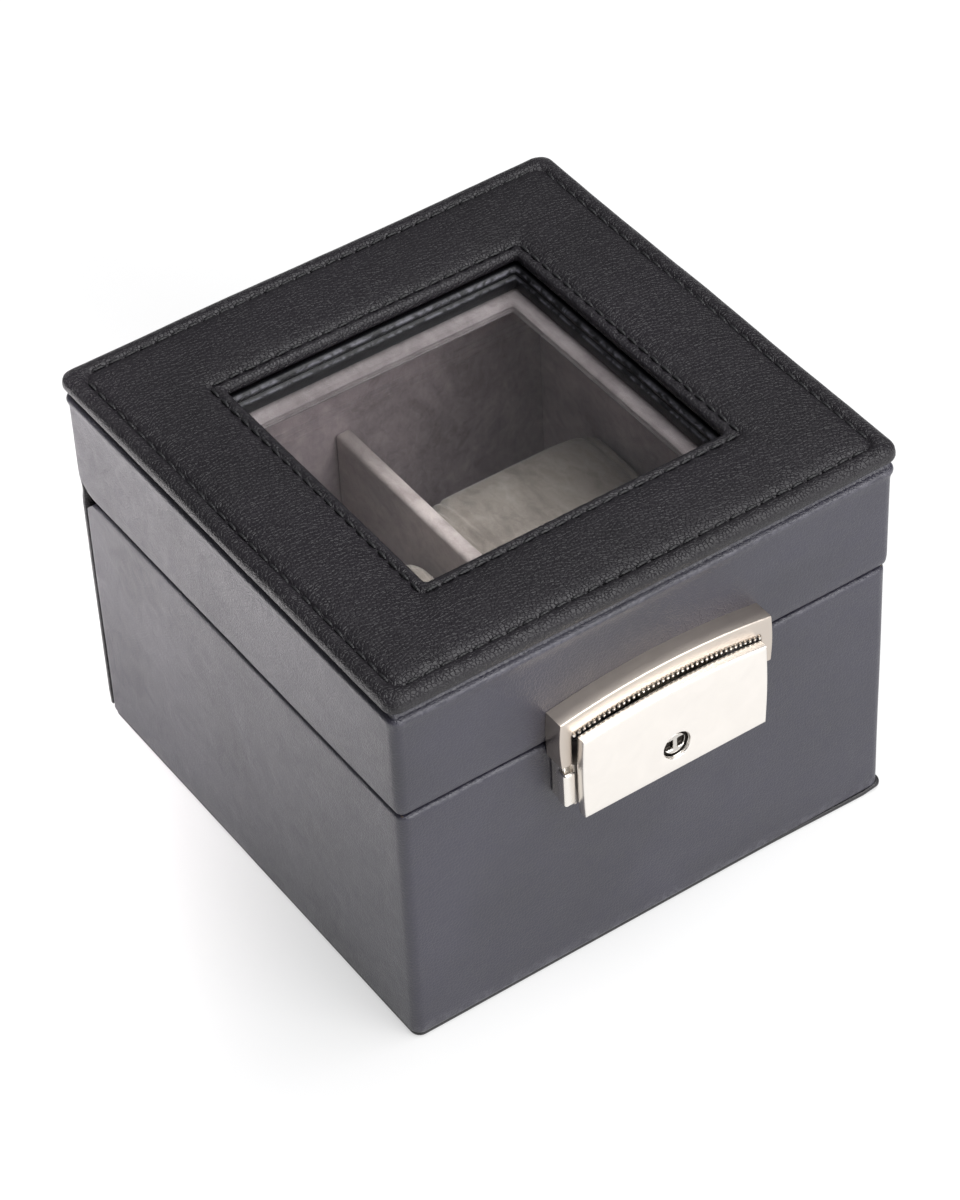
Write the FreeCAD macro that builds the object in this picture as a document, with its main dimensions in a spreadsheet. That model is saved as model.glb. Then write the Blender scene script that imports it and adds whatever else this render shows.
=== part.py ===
import FreeCAD, Part
import Sketcher
import math
import os
import re

# Two-place watch box: leather over board, window lid on a rear hinge, sprung lock plate, lift-out pillows.
# Millimetres. The origin is the middle of the underside, +Z is up and -Y is the front with the lock.
doc = FreeCAD.newDocument("watch_box")
V = FreeCAD.Vector

# Driving dimensions
DIMENSIONS = {
    "lid_width": 127.0, "lid_depth": 127.0, "seam_height": 68.1, "seam_gap": 1.3, "lid_frame_top": 99.0,
    "base_inset": 0.5, "leather": 1.0, "board": 5.5, "corner_radius": 2.5,
    "bottom_cover": 1.2, "cover_lip": 0.3, "floor_board": 5.0, "floor_liner": 1.2,
    "liner": 1.5, "collar": 4.0, "collar_room": 0.5, "collar_top_room": 0.8,
    "divider_thickness": 4.0, "divider_top": 57.0, "divider_round": 1.6,
    "pillow_top": 50.0, "pillow_depth": 75.0, "pillow_side_room": 1.5, "pillow_seat_room": 0.3,
    "pillow_round": 12.0, "pillow_crown": 1.2, "pillow_end_draw": 3.0, "pillow_seam_inset": 4.6,
    "pillow_seam_depth": 0.7, "pillow_seam_half": 0.92, "pillow_end_roll": 1.15, "pillow_end_step": 0.6,
    "pillow_crown_run": 15.0, "pillow_crown_fall": 0.36,
    "left_pillow_forward": 12.0, "right_pillow_forward": 0.0,
    "top_board": 8.0, "window": 80.0, "pad_height": 2.6, "pad_overhang": 0.9, "pad_skin": 1.1,
    "pad_edge_radius": 1.4, "foam_margin": 2.0,
    "trim_room": 0.1, "trim_height": 5.2, "trim_opening": 76.4, "trim_edge_radius": 1.2,
    "glass": 1.5, "glass_room": 0.4, "lining_frame": 3.0, "lining_opening": 70.0,
    "spine_leather": 0.9, "spine_width": 122.0, "spine_stop": 6.0,
    "hinge_inset": 3.3, "channel_reach": 2.5, "hinge_spacing": 76.0, "hinge_length": 18.0,
    "leaf_thickness": 0.6, "leaf_reach": 4.2, "knuckle_radius": 1.4, "knuckle_room": 0.3,
    "knuckle_web": 2.24, "pin_radius": 0.6, "pin_room": 0.04, "hinge_screw_radius": 0.7,
    "hinge_screw_length": 4.0, "hinge_screw_row": 2.94, "hinge_screw_pitch": 11.88,
    "strike_width": 54.0, "strike_depth": 5.2, "strike_above": 9.4, "strike_rise": 2.5,
    "strike_below": 2.9, "strike_leg": 2.7, "strike_band": 4.2, "strike_back": 1.2, "strike_back_room": 0.3,
    "case_width": 48.4, "case_depth": 5.7, "case_height": 11.6, "case_below": 3.3, "case_wall": 1.0,
    "case_floor": 1.3, "case_side": 4.2,
    "plate_width": 47.0, "plate_thickness": 2.5, "plate_height": 22.0, "plate_above": 5.0, "plate_rise": 1.65,
    "plate_room": 0.6, "plate_edge_radius": 0.6, "plate_travel": 1.5,
    "barrel_below": 9.7, "barrel_radius": 3.4, "barrel_room": 0.04, "barrel_recess": 0.3,
    "shank_radius": 2.0, "slot_room": 0.2, "cam_thickness": 1.1, "cam_reach": 3.6, "cam_width": 3.0,
    "slider_thickness": 1.0, "slider_room": 0.3, "slider_width": 38.0, "slider_height": 7.5,
    "rivet_radius": 1.4, "rivet_spacing": 28.0, "rivet_below": 8.1,
    "tongue_width": 12.0, "tongue_thickness": 1.35, "tongue_below": 5.5, "tongue_room": 0.4,
    "spring_radius": 0.8, "spring_spacing": 20.0,
    "screw_radius": 1.0, "screw_head_radius": 1.8, "screw_head": 1.0, "screw_bite": 3.0,
    "strike_screw_spacing": 32.0, "strike_screw_above": 3.5, "case_screw_spacing": 44.4,
}

sheet = doc.addObject("Spreadsheet::Sheet", "dims")
for row, (alias, number) in enumerate(DIMENSIONS.items(), start=1):
    cell = "B%d" % row
    sheet.set("A%d" % row, alias)
    sheet.set(cell, str(number))
    sheet.setAlias(cell, alias)
doc.recompute()

# Places that several pieces share, as expressions of the driving dimensions
BASE_X = "(lid_width / 2 - base_inset)"
BASE_Y = "(lid_depth / 2 - base_inset)"
BASE_BOARD_X = "(%s - leather)" % BASE_X
BASE_BOARD_Y = "(%s - leather)" % BASE_Y
BASE_INSIDE_X = "(%s - board)" % BASE_BOARD_X
BASE_INSIDE_Y = "(%s - board)" % BASE_BOARD_Y
ROOM_X = "(%s - liner)" % BASE_INSIDE_X
ROOM_Y = "(%s - liner)" % BASE_INSIDE_Y
RIM = "(seam_height - seam_gap / 2)"
FLOOR_TOP = "(bottom_cover + floor_board)"
ROOM_FLOOR = "(%s + floor_liner)" % FLOOR_TOP
COLLAR_TOP = "(%s + collar)" % RIM

LID_BOTTOM = "(seam_height + seam_gap / 2)"
LID_BOARD_X = "(lid_width / 2 - leather)"
LID_BOARD_Y = "(lid_depth / 2 - leather)"
LID_INSIDE_X = "(%s + collar_room)" % BASE_INSIDE_X
LID_INSIDE_Y = "(%s + collar_room)" % BASE_INSIDE_Y
LID_ROOM_X = "(%s - liner)" % LID_INSIDE_X
LID_ROOM_Y = "(%s - liner)" % LID_INSIDE_Y
LID_SIDE_TOP = "(lid_frame_top - top_board)"
LINING_BOTTOM = "(%s - lining_frame)" % LID_SIDE_TOP
GLASS_TOP = "(%s + glass)" % LID_SIDE_TOP

HINGE_Y = "(lid_depth / 2 - hinge_inset)"
CHANNEL_Y = "(%s - channel_reach)" % HINGE_Y
LID_FRONT = "(-lid_depth / 2)"
BASE_FRONT = "(-%s)" % BASE_Y
CASE_FRONT = "(%s - case_depth)" % BASE_FRONT
PLATE_BACK = "(%s - plate_room)" % CASE_FRONT
CASE_INNER_FRONT = "(%s + case_wall)" % CASE_FRONT
CASE_INNER_BACK = "(%s - case_wall)" % BASE_FRONT
CAM_FRONT = "(%s + 2 * slider_room)" % CASE_INNER_FRONT
CAM_BACK = "(%s + cam_thickness)" % CAM_FRONT
SLIDER_FRONT = "(%s + slider_room)" % CAM_BACK
STRIKE_END_TOP = "(seam_height + strike_above)"
STRIKE_BOTTOM = "(seam_height - strike_below)"
CASE_TOP = "(seam_height - case_below)"
CASE_BOTTOM = "(%s - case_height)" % CASE_TOP
PLATE_END_TOP = "(seam_height + plate_above)"
PLATE_BOTTOM = "(%s - plate_height)" % PLATE_END_TOP
BARREL_Z = "(seam_height - barrel_below)"
RIVET_Z = "(seam_height - rivet_below)"
CASE_FLOOR_TOP = "(%s + case_floor)" % CASE_BOTTOM
SLIDER_BOTTOM = "(%s + plate_travel + slider_room)" % CASE_FLOOR_TOP

nodes = []
gauge = doc.addObject("App::FeaturePython", "gauge")
gauge.addProperty("App::PropertyFloat", "reading")


def bound(expression):
    """The expression with every alias pointed at the sheet."""
    return re.sub(r"[a-z_]+", r"dims.\g<0>", expression)


def size_of(expression):
    """The number that an expression of the driving dimensions gives now."""
    gauge.setExpression("reading", bound(expression))
    gauge.recompute()
    return gauge.reading


def keep(label, piece):
    """Name a finished piece as a node."""
    piece.Label = label
    nodes.append(piece)
    return piece


def block(name, low, high):
    """A box between two corners, each given as three expressions."""
    piece = doc.addObject("Part::Box", name)
    for axis, side, start, end in zip("xyz", ("Length", "Width", "Height"), low, high):
        piece.setExpression(side, bound("(%s) - (%s)" % (end, start)))
        piece.setExpression("Placement.Base.%s" % axis, bound(start))
    return piece


def rod(name, start, radius, length, along):
    """A cylinder from a point, along +X, -Y, +Y or +Z."""
    piece = doc.addObject("Part::Cylinder", name)
    piece.setExpression("Radius", bound(radius))
    piece.setExpression("Height", bound(length))
    turn = {"x": (V(0, 1, 0), 90), "-y": (V(1, 0, 0), 90),
            "y": (V(1, 0, 0), -90), "z": (V(0, 0, 1), 0)}[along]
    piece.Placement = FreeCAD.Placement(V(0, 0, 0), FreeCAD.Rotation(*turn))
    for axis, place in zip("xyz", start):
        piece.setExpression("Placement.Base.%s" % axis, bound(place))
    return piece


def cut(name, base, tool):
    piece = doc.addObject("Part::Cut", name)
    piece.Base = base
    piece.Tool = tool
    return piece


def join(name, pieces):
    piece = doc.addObject("Part::MultiFuse", name)
    piece.Shapes = pieces
    return piece


def group(name, pieces):
    """Like fasteners kept as separate solids of one node."""
    piece = doc.addObject("Part::Compound", name)
    piece.Links = pieces
    return piece


def origin_plane(body, role):
    return [feature for feature in body.Origin.OriginFeatures if feature.Role == role][0]


def new_sketch(body, name, role):
    sketch = body.newObject("Sketcher::SketchObject", name)
    sketch.AttachmentSupport = [(origin_plane(body, role), "")]
    sketch.MapMode = "FlatFace"
    return sketch


def outline(sketch, corners):
    """A closed outline of straight lines through corners given as pairs of expressions."""
    places = [V(size_of(x), size_of(y), 0) for x, y in corners]
    first = sketch.GeometryCount
    count = len(places)
    for i in range(count):
        sketch.addGeometry(Part.LineSegment(places[i], places[(i + 1) % count]), False)
    for i in range(count):
        sketch.addConstraint(Sketcher.Constraint("Coincident", first + i, 2, first + (i + 1) % count, 1))
    for i, (x, y) in enumerate(corners):
        for kind, place, expression in (("DistanceX", places[i].x, x), ("DistanceY", places[i].y, y)):
            mark = sketch.addConstraint(Sketcher.Constraint(kind, -1, 1, first + i, 1, place))
            sketch.setExpression("Constraints[%d]" % mark, bound(expression))


def rectangle(sketch, half_x, half_y):
    outline(sketch, [("-" + half_x, "-" + half_y), (half_x, "-" + half_y),
                     (half_x, half_y), ("-" + half_x, half_y)])


def padded_sketch(body, sketch, length, midplane=False):
    pad = body.newObject("PartDesign::Pad", "Pad")
    pad.Profile = sketch
    pad.setExpression("Length", bound(length))
    pad.Midplane = midplane
    sketch.Visibility = False
    doc.recompute()
    return pad


def rounded(body, feature, wanted, radius):
    """Fillet the edges of a feature for which wanted(edge) holds."""
    edges = ["Edge%d" % (i + 1) for i, edge in enumerate(feature.Shape.Edges) if wanted(edge)]
    fillet = body.newObject("PartDesign::Fillet", "Fillet")
    fillet.Base = (feature, edges)
    fillet.setExpression("Radius", bound(radius))
    doc.recompute()
    return fillet


def frame(name, outer, inner, low, high):
    """A flat four-sided frame, centred on Z, between two heights."""
    body = doc.addObject("PartDesign::Body", name)
    sketch = new_sketch(body, name + "_outline", "XY_Plane")
    rectangle(sketch, *outer)
    rectangle(sketch, *inner)
    padded_sketch(body, sketch, "(%s) - (%s)" % (high, low))
    body.setExpression("Placement.Base.z", bound(low))
    return body


def is_upright(edge):
    a, b = edge.Vertexes[0].Point, edge.Vertexes[-1].Point
    return abs(a.x - b.x) < 1e-6 and abs(a.y - b.y) < 1e-6


def reach(edge):
    """How far an edge's middle lies from the Z axis, along X or Y."""
    return max(abs(edge.CenterOfMass.x), abs(edge.CenterOfMass.y))


def leather_skin(name, half_x, half_y, low, high):
    """A leather band around four boards, with soft upright corners."""
    body = frame(name, (half_x, half_y), ("(%s - leather)" % half_x, "(%s - leather)" % half_y), low, high)
    far = size_of(half_x) - 0.01
    rounded(body, body.Tip, lambda edge: is_upright(edge) and reach(edge) > far, "corner_radius")
    return body


def channelled_board(name, half_x, corners):
    """A rear board whose bevelled edge leaves the hinge channel."""
    body = doc.addObject("PartDesign::Body", name)
    sketch = new_sketch(body, name + "_profile", "YZ_Plane")
    outline(sketch, corners)
    padded_sketch(body, sketch, "2 * " + half_x, midplane=True)
    return body


# Base boards: front and back run the full width, the sides stand between them
keep("base_front_board", block("base_front_board", ("-" + BASE_BOARD_X, "-" + BASE_BOARD_Y, "bottom_cover"),
                               (BASE_BOARD_X, "-" + BASE_INSIDE_Y, RIM)))
keep("base_back_board", channelled_board("base_back_board", BASE_BOARD_X, [
    (BASE_INSIDE_Y, "bottom_cover"), (BASE_BOARD_Y, "bottom_cover"),
    (BASE_BOARD_Y, "(%s - (%s - %s))" % (RIM, BASE_BOARD_Y, CHANNEL_Y)), (CHANNEL_Y, RIM),
    (BASE_INSIDE_Y, RIM)]))
keep("base_left_board", block("base_left_board", ("-" + BASE_BOARD_X, "-" + BASE_INSIDE_Y, "bottom_cover"),
                              ("-" + BASE_INSIDE_X, BASE_INSIDE_Y, RIM)))
keep("base_right_board", block("base_right_board", (BASE_INSIDE_X, "-" + BASE_INSIDE_Y, "bottom_cover"),
                               (BASE_BOARD_X, BASE_INSIDE_Y, RIM)))
keep("base_floor_board", block("base_floor_board", ("-" + BASE_INSIDE_X, "-" + BASE_INSIDE_Y, "bottom_cover"),
                               (BASE_INSIDE_X, BASE_INSIDE_Y, FLOOR_TOP)))

# Cover under the base, which the box stands on
keep("bottom_cover", block("bottom_cover",
                           ("-(%s + cover_lip)" % BASE_X, "-(%s + cover_lip)" % BASE_Y, "0"),
                           ("%s + cover_lip" % BASE_X, "%s + cover_lip" % BASE_Y, "bottom_cover")))

# Leather around the base, open along the hinge channel
base_skin = leather_skin("base_skin", BASE_X, BASE_Y, "bottom_cover", RIM)
base_channel = block("base_channel",
                     ("-lid_width", CHANNEL_Y, "%s - (%s - %s)" % (RIM, BASE_BOARD_Y, CHANNEL_Y)),
                     ("lid_width", "lid_depth", "lid_frame_top"))
keep("base_leather", cut("base_leather_cut", base_skin, base_channel))

# Suede-covered liners of the base; the walls stand above the rim as a collar inside the lid
keep("floor_liner", block("floor_liner", ("-" + BASE_INSIDE_X, "-" + BASE_INSIDE_Y, FLOOR_TOP),
                          (BASE_INSIDE_X, BASE_INSIDE_Y, ROOM_FLOOR)))
keep("base_front_liner", block("base_front_liner", ("-" + BASE_INSIDE_X, "-" + BASE_INSIDE_Y, ROOM_FLOOR),
                               (BASE_INSIDE_X, "-" + ROOM_Y, COLLAR_TOP)))
keep("base_back_liner", block("base_back_liner", ("-" + BASE_INSIDE_X, ROOM_Y, ROOM_FLOOR),
                              (BASE_INSIDE_X, BASE_INSIDE_Y, COLLAR_TOP)))
keep("base_left_liner", block("base_left_liner", ("-" + BASE_INSIDE_X, "-" + ROOM_Y, ROOM_FLOOR),
                              ("-" + ROOM_X, ROOM_Y, COLLAR_TOP)))
keep("base_right_liner", block("base_right_liner", (ROOM_X, "-" + ROOM_Y, ROOM_FLOOR),
                               (BASE_INSIDE_X, ROOM_Y, COLLAR_TOP)))

# Divider between the two places, with a rounded top edge
divider = doc.addObject("PartDesign::Body", "divider")
divider_sketch = new_sketch(divider, "divider_plan", "XY_Plane")
rectangle(divider_sketch, "(divider_thickness / 2)", ROOM_Y)
divider_pad = padded_sketch(divider, divider_sketch, "divider_top - " + ROOM_FLOOR)
divider_height = size_of("divider_top - " + ROOM_FLOOR)
rounded(divider, divider_pad, lambda edge: (edge.CenterOfMass.z > divider_height - 0.01
                                            and abs(edge.CenterOfMass.x) > 0.1), "divider_round")
divider.setExpression("Placement.Base.z", bound(ROOM_FLOOR))
keep("divider", divider)


def pillow_section(x, middle, half_y, low, high, radius):
    """A rounded rectangle across the pillow, of four lines and four quarter arcs."""
    y, mid = half_y - radius, math.sqrt(0.5) * radius
    bottom, top = low + radius, high - radius
    arcs = [(middle + y, bottom, 1, -1, (0, -1), (1, 0)), (middle + y, top, 1, 1, (1, 0), (0, 1)),
            (middle - y, top, -1, 1, (0, 1), (-1, 0)), (middle - y, bottom, -1, -1, (-1, 0), (0, -1))]
    edges = []
    ends = []
    for cy, cz, sy, sz, start, end in arcs:
        first = V(x, cy + radius * start[0], cz + radius * start[1])
        last = V(x, cy + radius * end[0], cz + radius * end[1])
        edges.append(Part.Arc(first, V(x, cy + sy * mid, cz + sz * mid), last).toShape())
        ends.append((first, last))
    lines = [Part.makeLine(ends[i][1], ends[(i + 1) % 4][0]) for i in range(4)]
    return Part.Wire([edge for pair in zip(edges, lines) for edge in pair])


def pillow(name, side, forward):
    """A stuffed suede pillow: crowned along its length, drawn in at both ends, a sewn channel near each."""
    low = size_of(ROOM_FLOOR + " + pillow_seat_room")
    high = size_of("pillow_top")
    half_y = size_of("pillow_depth / 2")
    start = size_of("divider_thickness / 2 + pillow_side_room")
    end = size_of("%s - pillow_side_room" % ROOM_X)
    middle = (start + end) / 2
    seam = size_of("pillow_seam_inset")
    crown = size_of("pillow_crown")
    draw = size_of("pillow_end_draw")
    groove = size_of("pillow_seam_depth")
    lip = size_of("pillow_seam_half")
    radius = size_of("pillow_round")
    half_length = middle - start
    # Distance in from the end, and how far the section there lies inside the fullest one
    stations = [(0, draw), (size_of("pillow_end_roll"), crown + size_of("pillow_end_step")),
                (seam - lip, crown), (seam, crown + groove), (seam + lip, crown),
                (size_of("pillow_crown_run"), size_of("pillow_crown_fall")), (half_length, 0)]
    places = [(start + inset, shrink) for inset, shrink in stations]
    places += [(end - inset, shrink) for inset, shrink in reversed(stations[:-1])]
    sections = [pillow_section(side * x, -size_of(forward), half_y - shrink, low, high - shrink, radius)
                for x, shrink in places]
    piece = doc.addObject("Part::Feature", name)
    piece.Shape = Part.makeLoft(sections, True, True)
    piece.Placement = FreeCAD.Placement()
    return keep(name, piece)


pillow("left_pillow", -1, "left_pillow_forward")
pillow("right_pillow", 1, "right_pillow_forward")

# Lid boards: the top frame lies on four sides
keep("lid_front_board", block("lid_front_board", ("-" + LID_BOARD_X, "-" + LID_BOARD_Y, LID_BOTTOM),
                              (LID_BOARD_X, "-" + LID_INSIDE_Y, LID_SIDE_TOP)))
keep("lid_back_board", channelled_board("lid_back_board", LID_BOARD_X, [
    (LID_INSIDE_Y, LID_BOTTOM), (CHANNEL_Y, LID_BOTTOM),
    (LID_BOARD_Y, "(%s + (%s - %s))" % (LID_BOTTOM, LID_BOARD_Y, CHANNEL_Y)),
    (LID_BOARD_Y, LID_SIDE_TOP), (LID_INSIDE_Y, LID_SIDE_TOP)]))
keep("lid_left_board", block("lid_left_board", ("-" + LID_BOARD_X, "-" + LID_INSIDE_Y, LID_BOTTOM),
                             ("-" + LID_INSIDE_X, LID_INSIDE_Y, LID_SIDE_TOP)))
keep("lid_right_board", block("lid_right_board", (LID_INSIDE_X, "-" + LID_INSIDE_Y, LID_BOTTOM),
                              (LID_BOARD_X, LID_INSIDE_Y, LID_SIDE_TOP)))
keep("lid_top_board", frame("lid_top_board", (LID_BOARD_X, LID_BOARD_Y), ("(window / 2)", "(window / 2)"),
                            LID_SIDE_TOP, "lid_frame_top"))

# Leather around the lid, open along the hinge channel
lid_skin = leather_skin("lid_skin", "(lid_width / 2)", "(lid_depth / 2)", LID_BOTTOM, "lid_frame_top")
lid_channel = block("lid_channel", ("-lid_width", CHANNEL_Y, "0"),
                    ("lid_width", "lid_depth", "%s + (%s - %s)" % (LID_BOTTOM, LID_BOARD_Y, CHANNEL_Y)))
keep("lid_leather", cut("lid_leather_cut", lid_skin, lid_channel))

# Padded top: a foam frame under a leather cover with soft edges
PAD_X = "(lid_width / 2 + pad_overhang)"
PAD_Y = "(lid_depth / 2 + pad_overhang)"
foam_outer = ("(%s - foam_margin)" % PAD_X, "(%s - foam_margin)" % PAD_Y)
foam_inner = ("(window / 2 + foam_margin)", "(window / 2 + foam_margin)")
keep("top_pad_foam", frame("top_pad_foam", foam_outer, foam_inner, "lid_frame_top",
                           "lid_frame_top + pad_height - pad_skin"))
cover = frame("top_pad_leather", (PAD_X, PAD_Y), ("(window / 2)", "(window / 2)"), "lid_frame_top",
              "lid_frame_top + pad_height")
hollow_sketch = new_sketch(cover, "foam_hollow", "XY_Plane")
rectangle(hollow_sketch, *foam_outer)
rectangle(hollow_sketch, *foam_inner)
hollow = cover.newObject("PartDesign::Pocket", "Foam_hollow")
hollow.Profile = hollow_sketch
hollow.setExpression("Length", bound("pad_height - pad_skin"))
hollow.Reversed = True
doc.recompute()
pad_height = size_of("pad_height")
cover_far = size_of(PAD_X) - 0.01
soft_edges = rounded(cover, hollow, lambda edge: is_upright(edge) and reach(edge) > cover_far,
                     "corner_radius")
rounded(cover, soft_edges, lambda edge: edge.CenterOfMass.z > pad_height - 0.01, "pad_edge_radius")
keep("top_pad_leather", cover)

# Window: leather-wrapped trim over the pane, and a suede-covered frame that carries the pane from below
trim_half = "(window / 2 - trim_room)"
trim = frame("window_trim", (trim_half, trim_half), ("(trim_opening / 2)", "(trim_opening / 2)"),
             GLASS_TOP, "%s + trim_height" % GLASS_TOP)
trim_height = size_of("trim_height")
trim_near = size_of("trim_opening / 2") + 0.01
rounded(trim, trim.Tip, lambda edge: edge.CenterOfMass.z > trim_height - 0.01 and reach(edge) < trim_near,
        "trim_edge_radius")
keep("window_trim", trim)
pane_half = "(window / 2 - glass_room)"
keep("window_pane", block("window_pane", ("-" + pane_half, "-" + pane_half, LID_SIDE_TOP),
                          (pane_half, pane_half, GLASS_TOP)))
keep("lid_lining_frame", frame("lid_lining_frame", (LID_INSIDE_X, LID_INSIDE_Y),
                               ("(lining_opening / 2)", "(lining_opening / 2)"), LINING_BOTTOM, LID_SIDE_TOP))

# Suede-covered liners of the lid, which stop above the collar
LINER_BOTTOM = "(%s + collar_top_room)" % COLLAR_TOP
keep("lid_front_liner", block("lid_front_liner", ("-" + LID_INSIDE_X, "-" + LID_INSIDE_Y, LINER_BOTTOM),
                              (LID_INSIDE_X, "-" + LID_ROOM_Y, LINING_BOTTOM)))
keep("lid_back_liner", block("lid_back_liner", ("-" + LID_INSIDE_X, LID_ROOM_Y, LINER_BOTTOM),
                             (LID_INSIDE_X, LID_INSIDE_Y, LINING_BOTTOM)))
keep("lid_left_liner", block("lid_left_liner", ("-" + LID_INSIDE_X, "-" + LID_ROOM_Y, LINER_BOTTOM),
                             ("-" + LID_ROOM_X, LID_ROOM_Y, LINING_BOTTOM)))
keep("lid_right_liner", block("lid_right_liner", (LID_ROOM_X, "-" + LID_ROOM_Y, LINER_BOTTOM),
                              (LID_INSIDE_X, LID_ROOM_Y, LINING_BOTTOM)))

# Spine leather down the back, one flap on the lid and one on the base
keep("spine_leather_lower", block("spine_leather_lower",
                                  ("-spine_width / 2", BASE_Y, "bottom_cover + cover_lip"),
                                  ("spine_width / 2", "lid_depth / 2 + spine_leather",
                                   "seam_height - spine_stop")))
keep("spine_leather_upper", block("spine_leather_upper",
                                  ("-spine_width / 2", "lid_depth / 2", "seam_height + spine_stop"),
                                  ("spine_width / 2", "lid_depth / 2 + spine_leather", "lid_frame_top")))

# Butt hinges in the channel: each leaf lies on its board's bevel, and knuckles share one pin


def hinge_leaf(name, side, is_lower):
    """A leaf on the 45 degree bevel; the lower one has the two outer knuckles, the upper one the middle."""
    half = size_of("hinge_length / 2")
    depth = (size_of("channel_reach") + size_of("seam_gap") / 2) / math.sqrt(2)
    thickness = size_of("leaf_thickness")
    radius = size_of("knuckle_radius")
    web_width = size_of("knuckle_web")
    gap = size_of("knuckle_room")
    third = half / 3
    plate = Part.makeBox(2 * half, size_of("leaf_reach"), thickness, V(-half, 0, -depth))
    outer_spans = [(-half, -third - gap / 2), (third + gap / 2, half)]
    spans = outer_spans if is_lower else [(-third + gap / 2, third - gap / 2)]
    shape = plate
    for low, high in spans:
        barrel = Part.makeCylinder(radius, high - low, V(low, 0, 0), V(1, 0, 0))
        web = Part.makeBox(high - low, web_width, depth, V(low, -web_width / 2, -depth))
        shape = shape.fuse([barrel, web])
    bore = Part.makeCylinder(size_of("pin_radius + pin_room"), 2 * half, V(-half, 0, 0), V(1, 0, 0))
    piece = doc.addObject("Part::Feature", name)
    shape = shape.cut(bore).removeSplitter()
    tilt = FreeCAD.Rotation(V(1, 0, 0), -45 if is_lower else -135)
    mirror_back = FreeCAD.Rotation(V(0, 0, 1), 0 if is_lower else 180)
    piece.Shape = shape
    place = V(side * size_of("hinge_spacing / 2"), size_of(HINGE_Y), size_of("seam_height"))
    piece.Placement = FreeCAD.Placement(place, tilt.multiply(mirror_back))
    return keep(name, piece)


for word, side in (("left", -1), ("right", 1)):
    hinge_leaf("hinge_lower_leaf_%s" % word, side, True)
    hinge_leaf("hinge_upper_leaf_%s" % word, side, False)

keep("hinge_pins", group("hinge_pins", [
    rod("hinge_pin_%d" % i, ("%d * hinge_spacing / 2 - hinge_length / 2" % side, HINGE_Y, "seam_height"),
        "pin_radius", "hinge_length", "x") for i, side in enumerate((-1, 1))]))


def hinge_screws(name, up):
    """Small screws driven square into the bevel through each leaf, two per leaf."""
    screws = []
    drop = size_of("(channel_reach + seam_gap / 2)") / math.sqrt(2)
    along = size_of("hinge_screw_row")
    normal = V(0, -1, up).normalize()
    slope = V(0, 1, up).normalize()
    middle = V(0, size_of(HINGE_Y), size_of("seam_height"))
    for side in (-1, 1):
        for end in (-1, 1):
            x = side * size_of("hinge_spacing / 2") + end * size_of("hinge_screw_pitch / 2")
            seat = middle + normal * (drop - size_of("leaf_thickness")) + slope * along + V(x, 0, 0)
            shank = Part.makeCylinder(size_of("hinge_screw_radius"), size_of("hinge_screw_length"), seat,
                                      normal)
            head = Part.makeCone(size_of("hinge_screw_radius * 2"), size_of("hinge_screw_radius"),
                                 size_of("leaf_thickness"), seat, normal)
            screws.append(shank.fuse(head))
    piece = doc.addObject("Part::Feature", name)
    piece.Shape = Part.makeCompound(screws)
    return keep(name, piece)


hinge_screws("hinge_screws_lower", -1)
hinge_screws("hinge_screws_upper", 1)


def arched_body(name, half, bottom, end_top, rise, thickness, back):
    """A plate facing the front: straight foot and sides, and a top that arches up in the middle."""
    body = doc.addObject("PartDesign::Body", name)
    sketch = new_sketch(body, name + "_face", "XZ_Plane")
    x, low, high, top = size_of(half), size_of(bottom), size_of(end_top), size_of("%s + %s" % (end_top, rise))
    sketch.addGeometry(Part.LineSegment(V(-x, high, 0), V(-x, low, 0)), False)
    sketch.addGeometry(Part.LineSegment(V(-x, low, 0), V(x, low, 0)), False)
    sketch.addGeometry(Part.LineSegment(V(x, low, 0), V(x, high, 0)), False)
    sketch.addGeometry(Part.Arc(V(x, high, 0), V(0, top, 0), V(-x, high, 0)), False)
    for i in range(2):
        sketch.addConstraint(Sketcher.Constraint("Coincident", i, 2, i + 1, 1))
    sketch.addConstraint(Sketcher.Constraint("Coincident", 2, 2, 3, 1))
    sketch.addConstraint(Sketcher.Constraint("Coincident", 3, 2, 0, 1))
    chord_radius = "((%s)^2 + (%s)^2) / (2 * (%s))" % (half, rise, rise)
    fixed = [("DistanceX", (-1, 1, 0, 2), "-(%s)" % half), ("DistanceY", (-1, 1, 0, 2), bottom),
             ("DistanceX", (-1, 1, 1, 2), half), ("DistanceY", (-1, 1, 1, 2), bottom),
             ("DistanceX", (-1, 1, 2, 2), half), ("DistanceY", (-1, 1, 2, 2), end_top),
             ("DistanceX", (-1, 1, 0, 1), "-(%s)" % half), ("DistanceY", (-1, 1, 0, 1), end_top),
             ("Radius", (3,), chord_radius)]
    for kind, ends, expression in fixed:
        mark = sketch.addConstraint(Sketcher.Constraint(kind, *ends, size_of(expression)))
        sketch.setExpression("Constraints[%d]" % mark, bound(expression))
    padded_sketch(body, sketch, thickness)
    body.setExpression("Placement.Base.y", bound(back))
    return body


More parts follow.
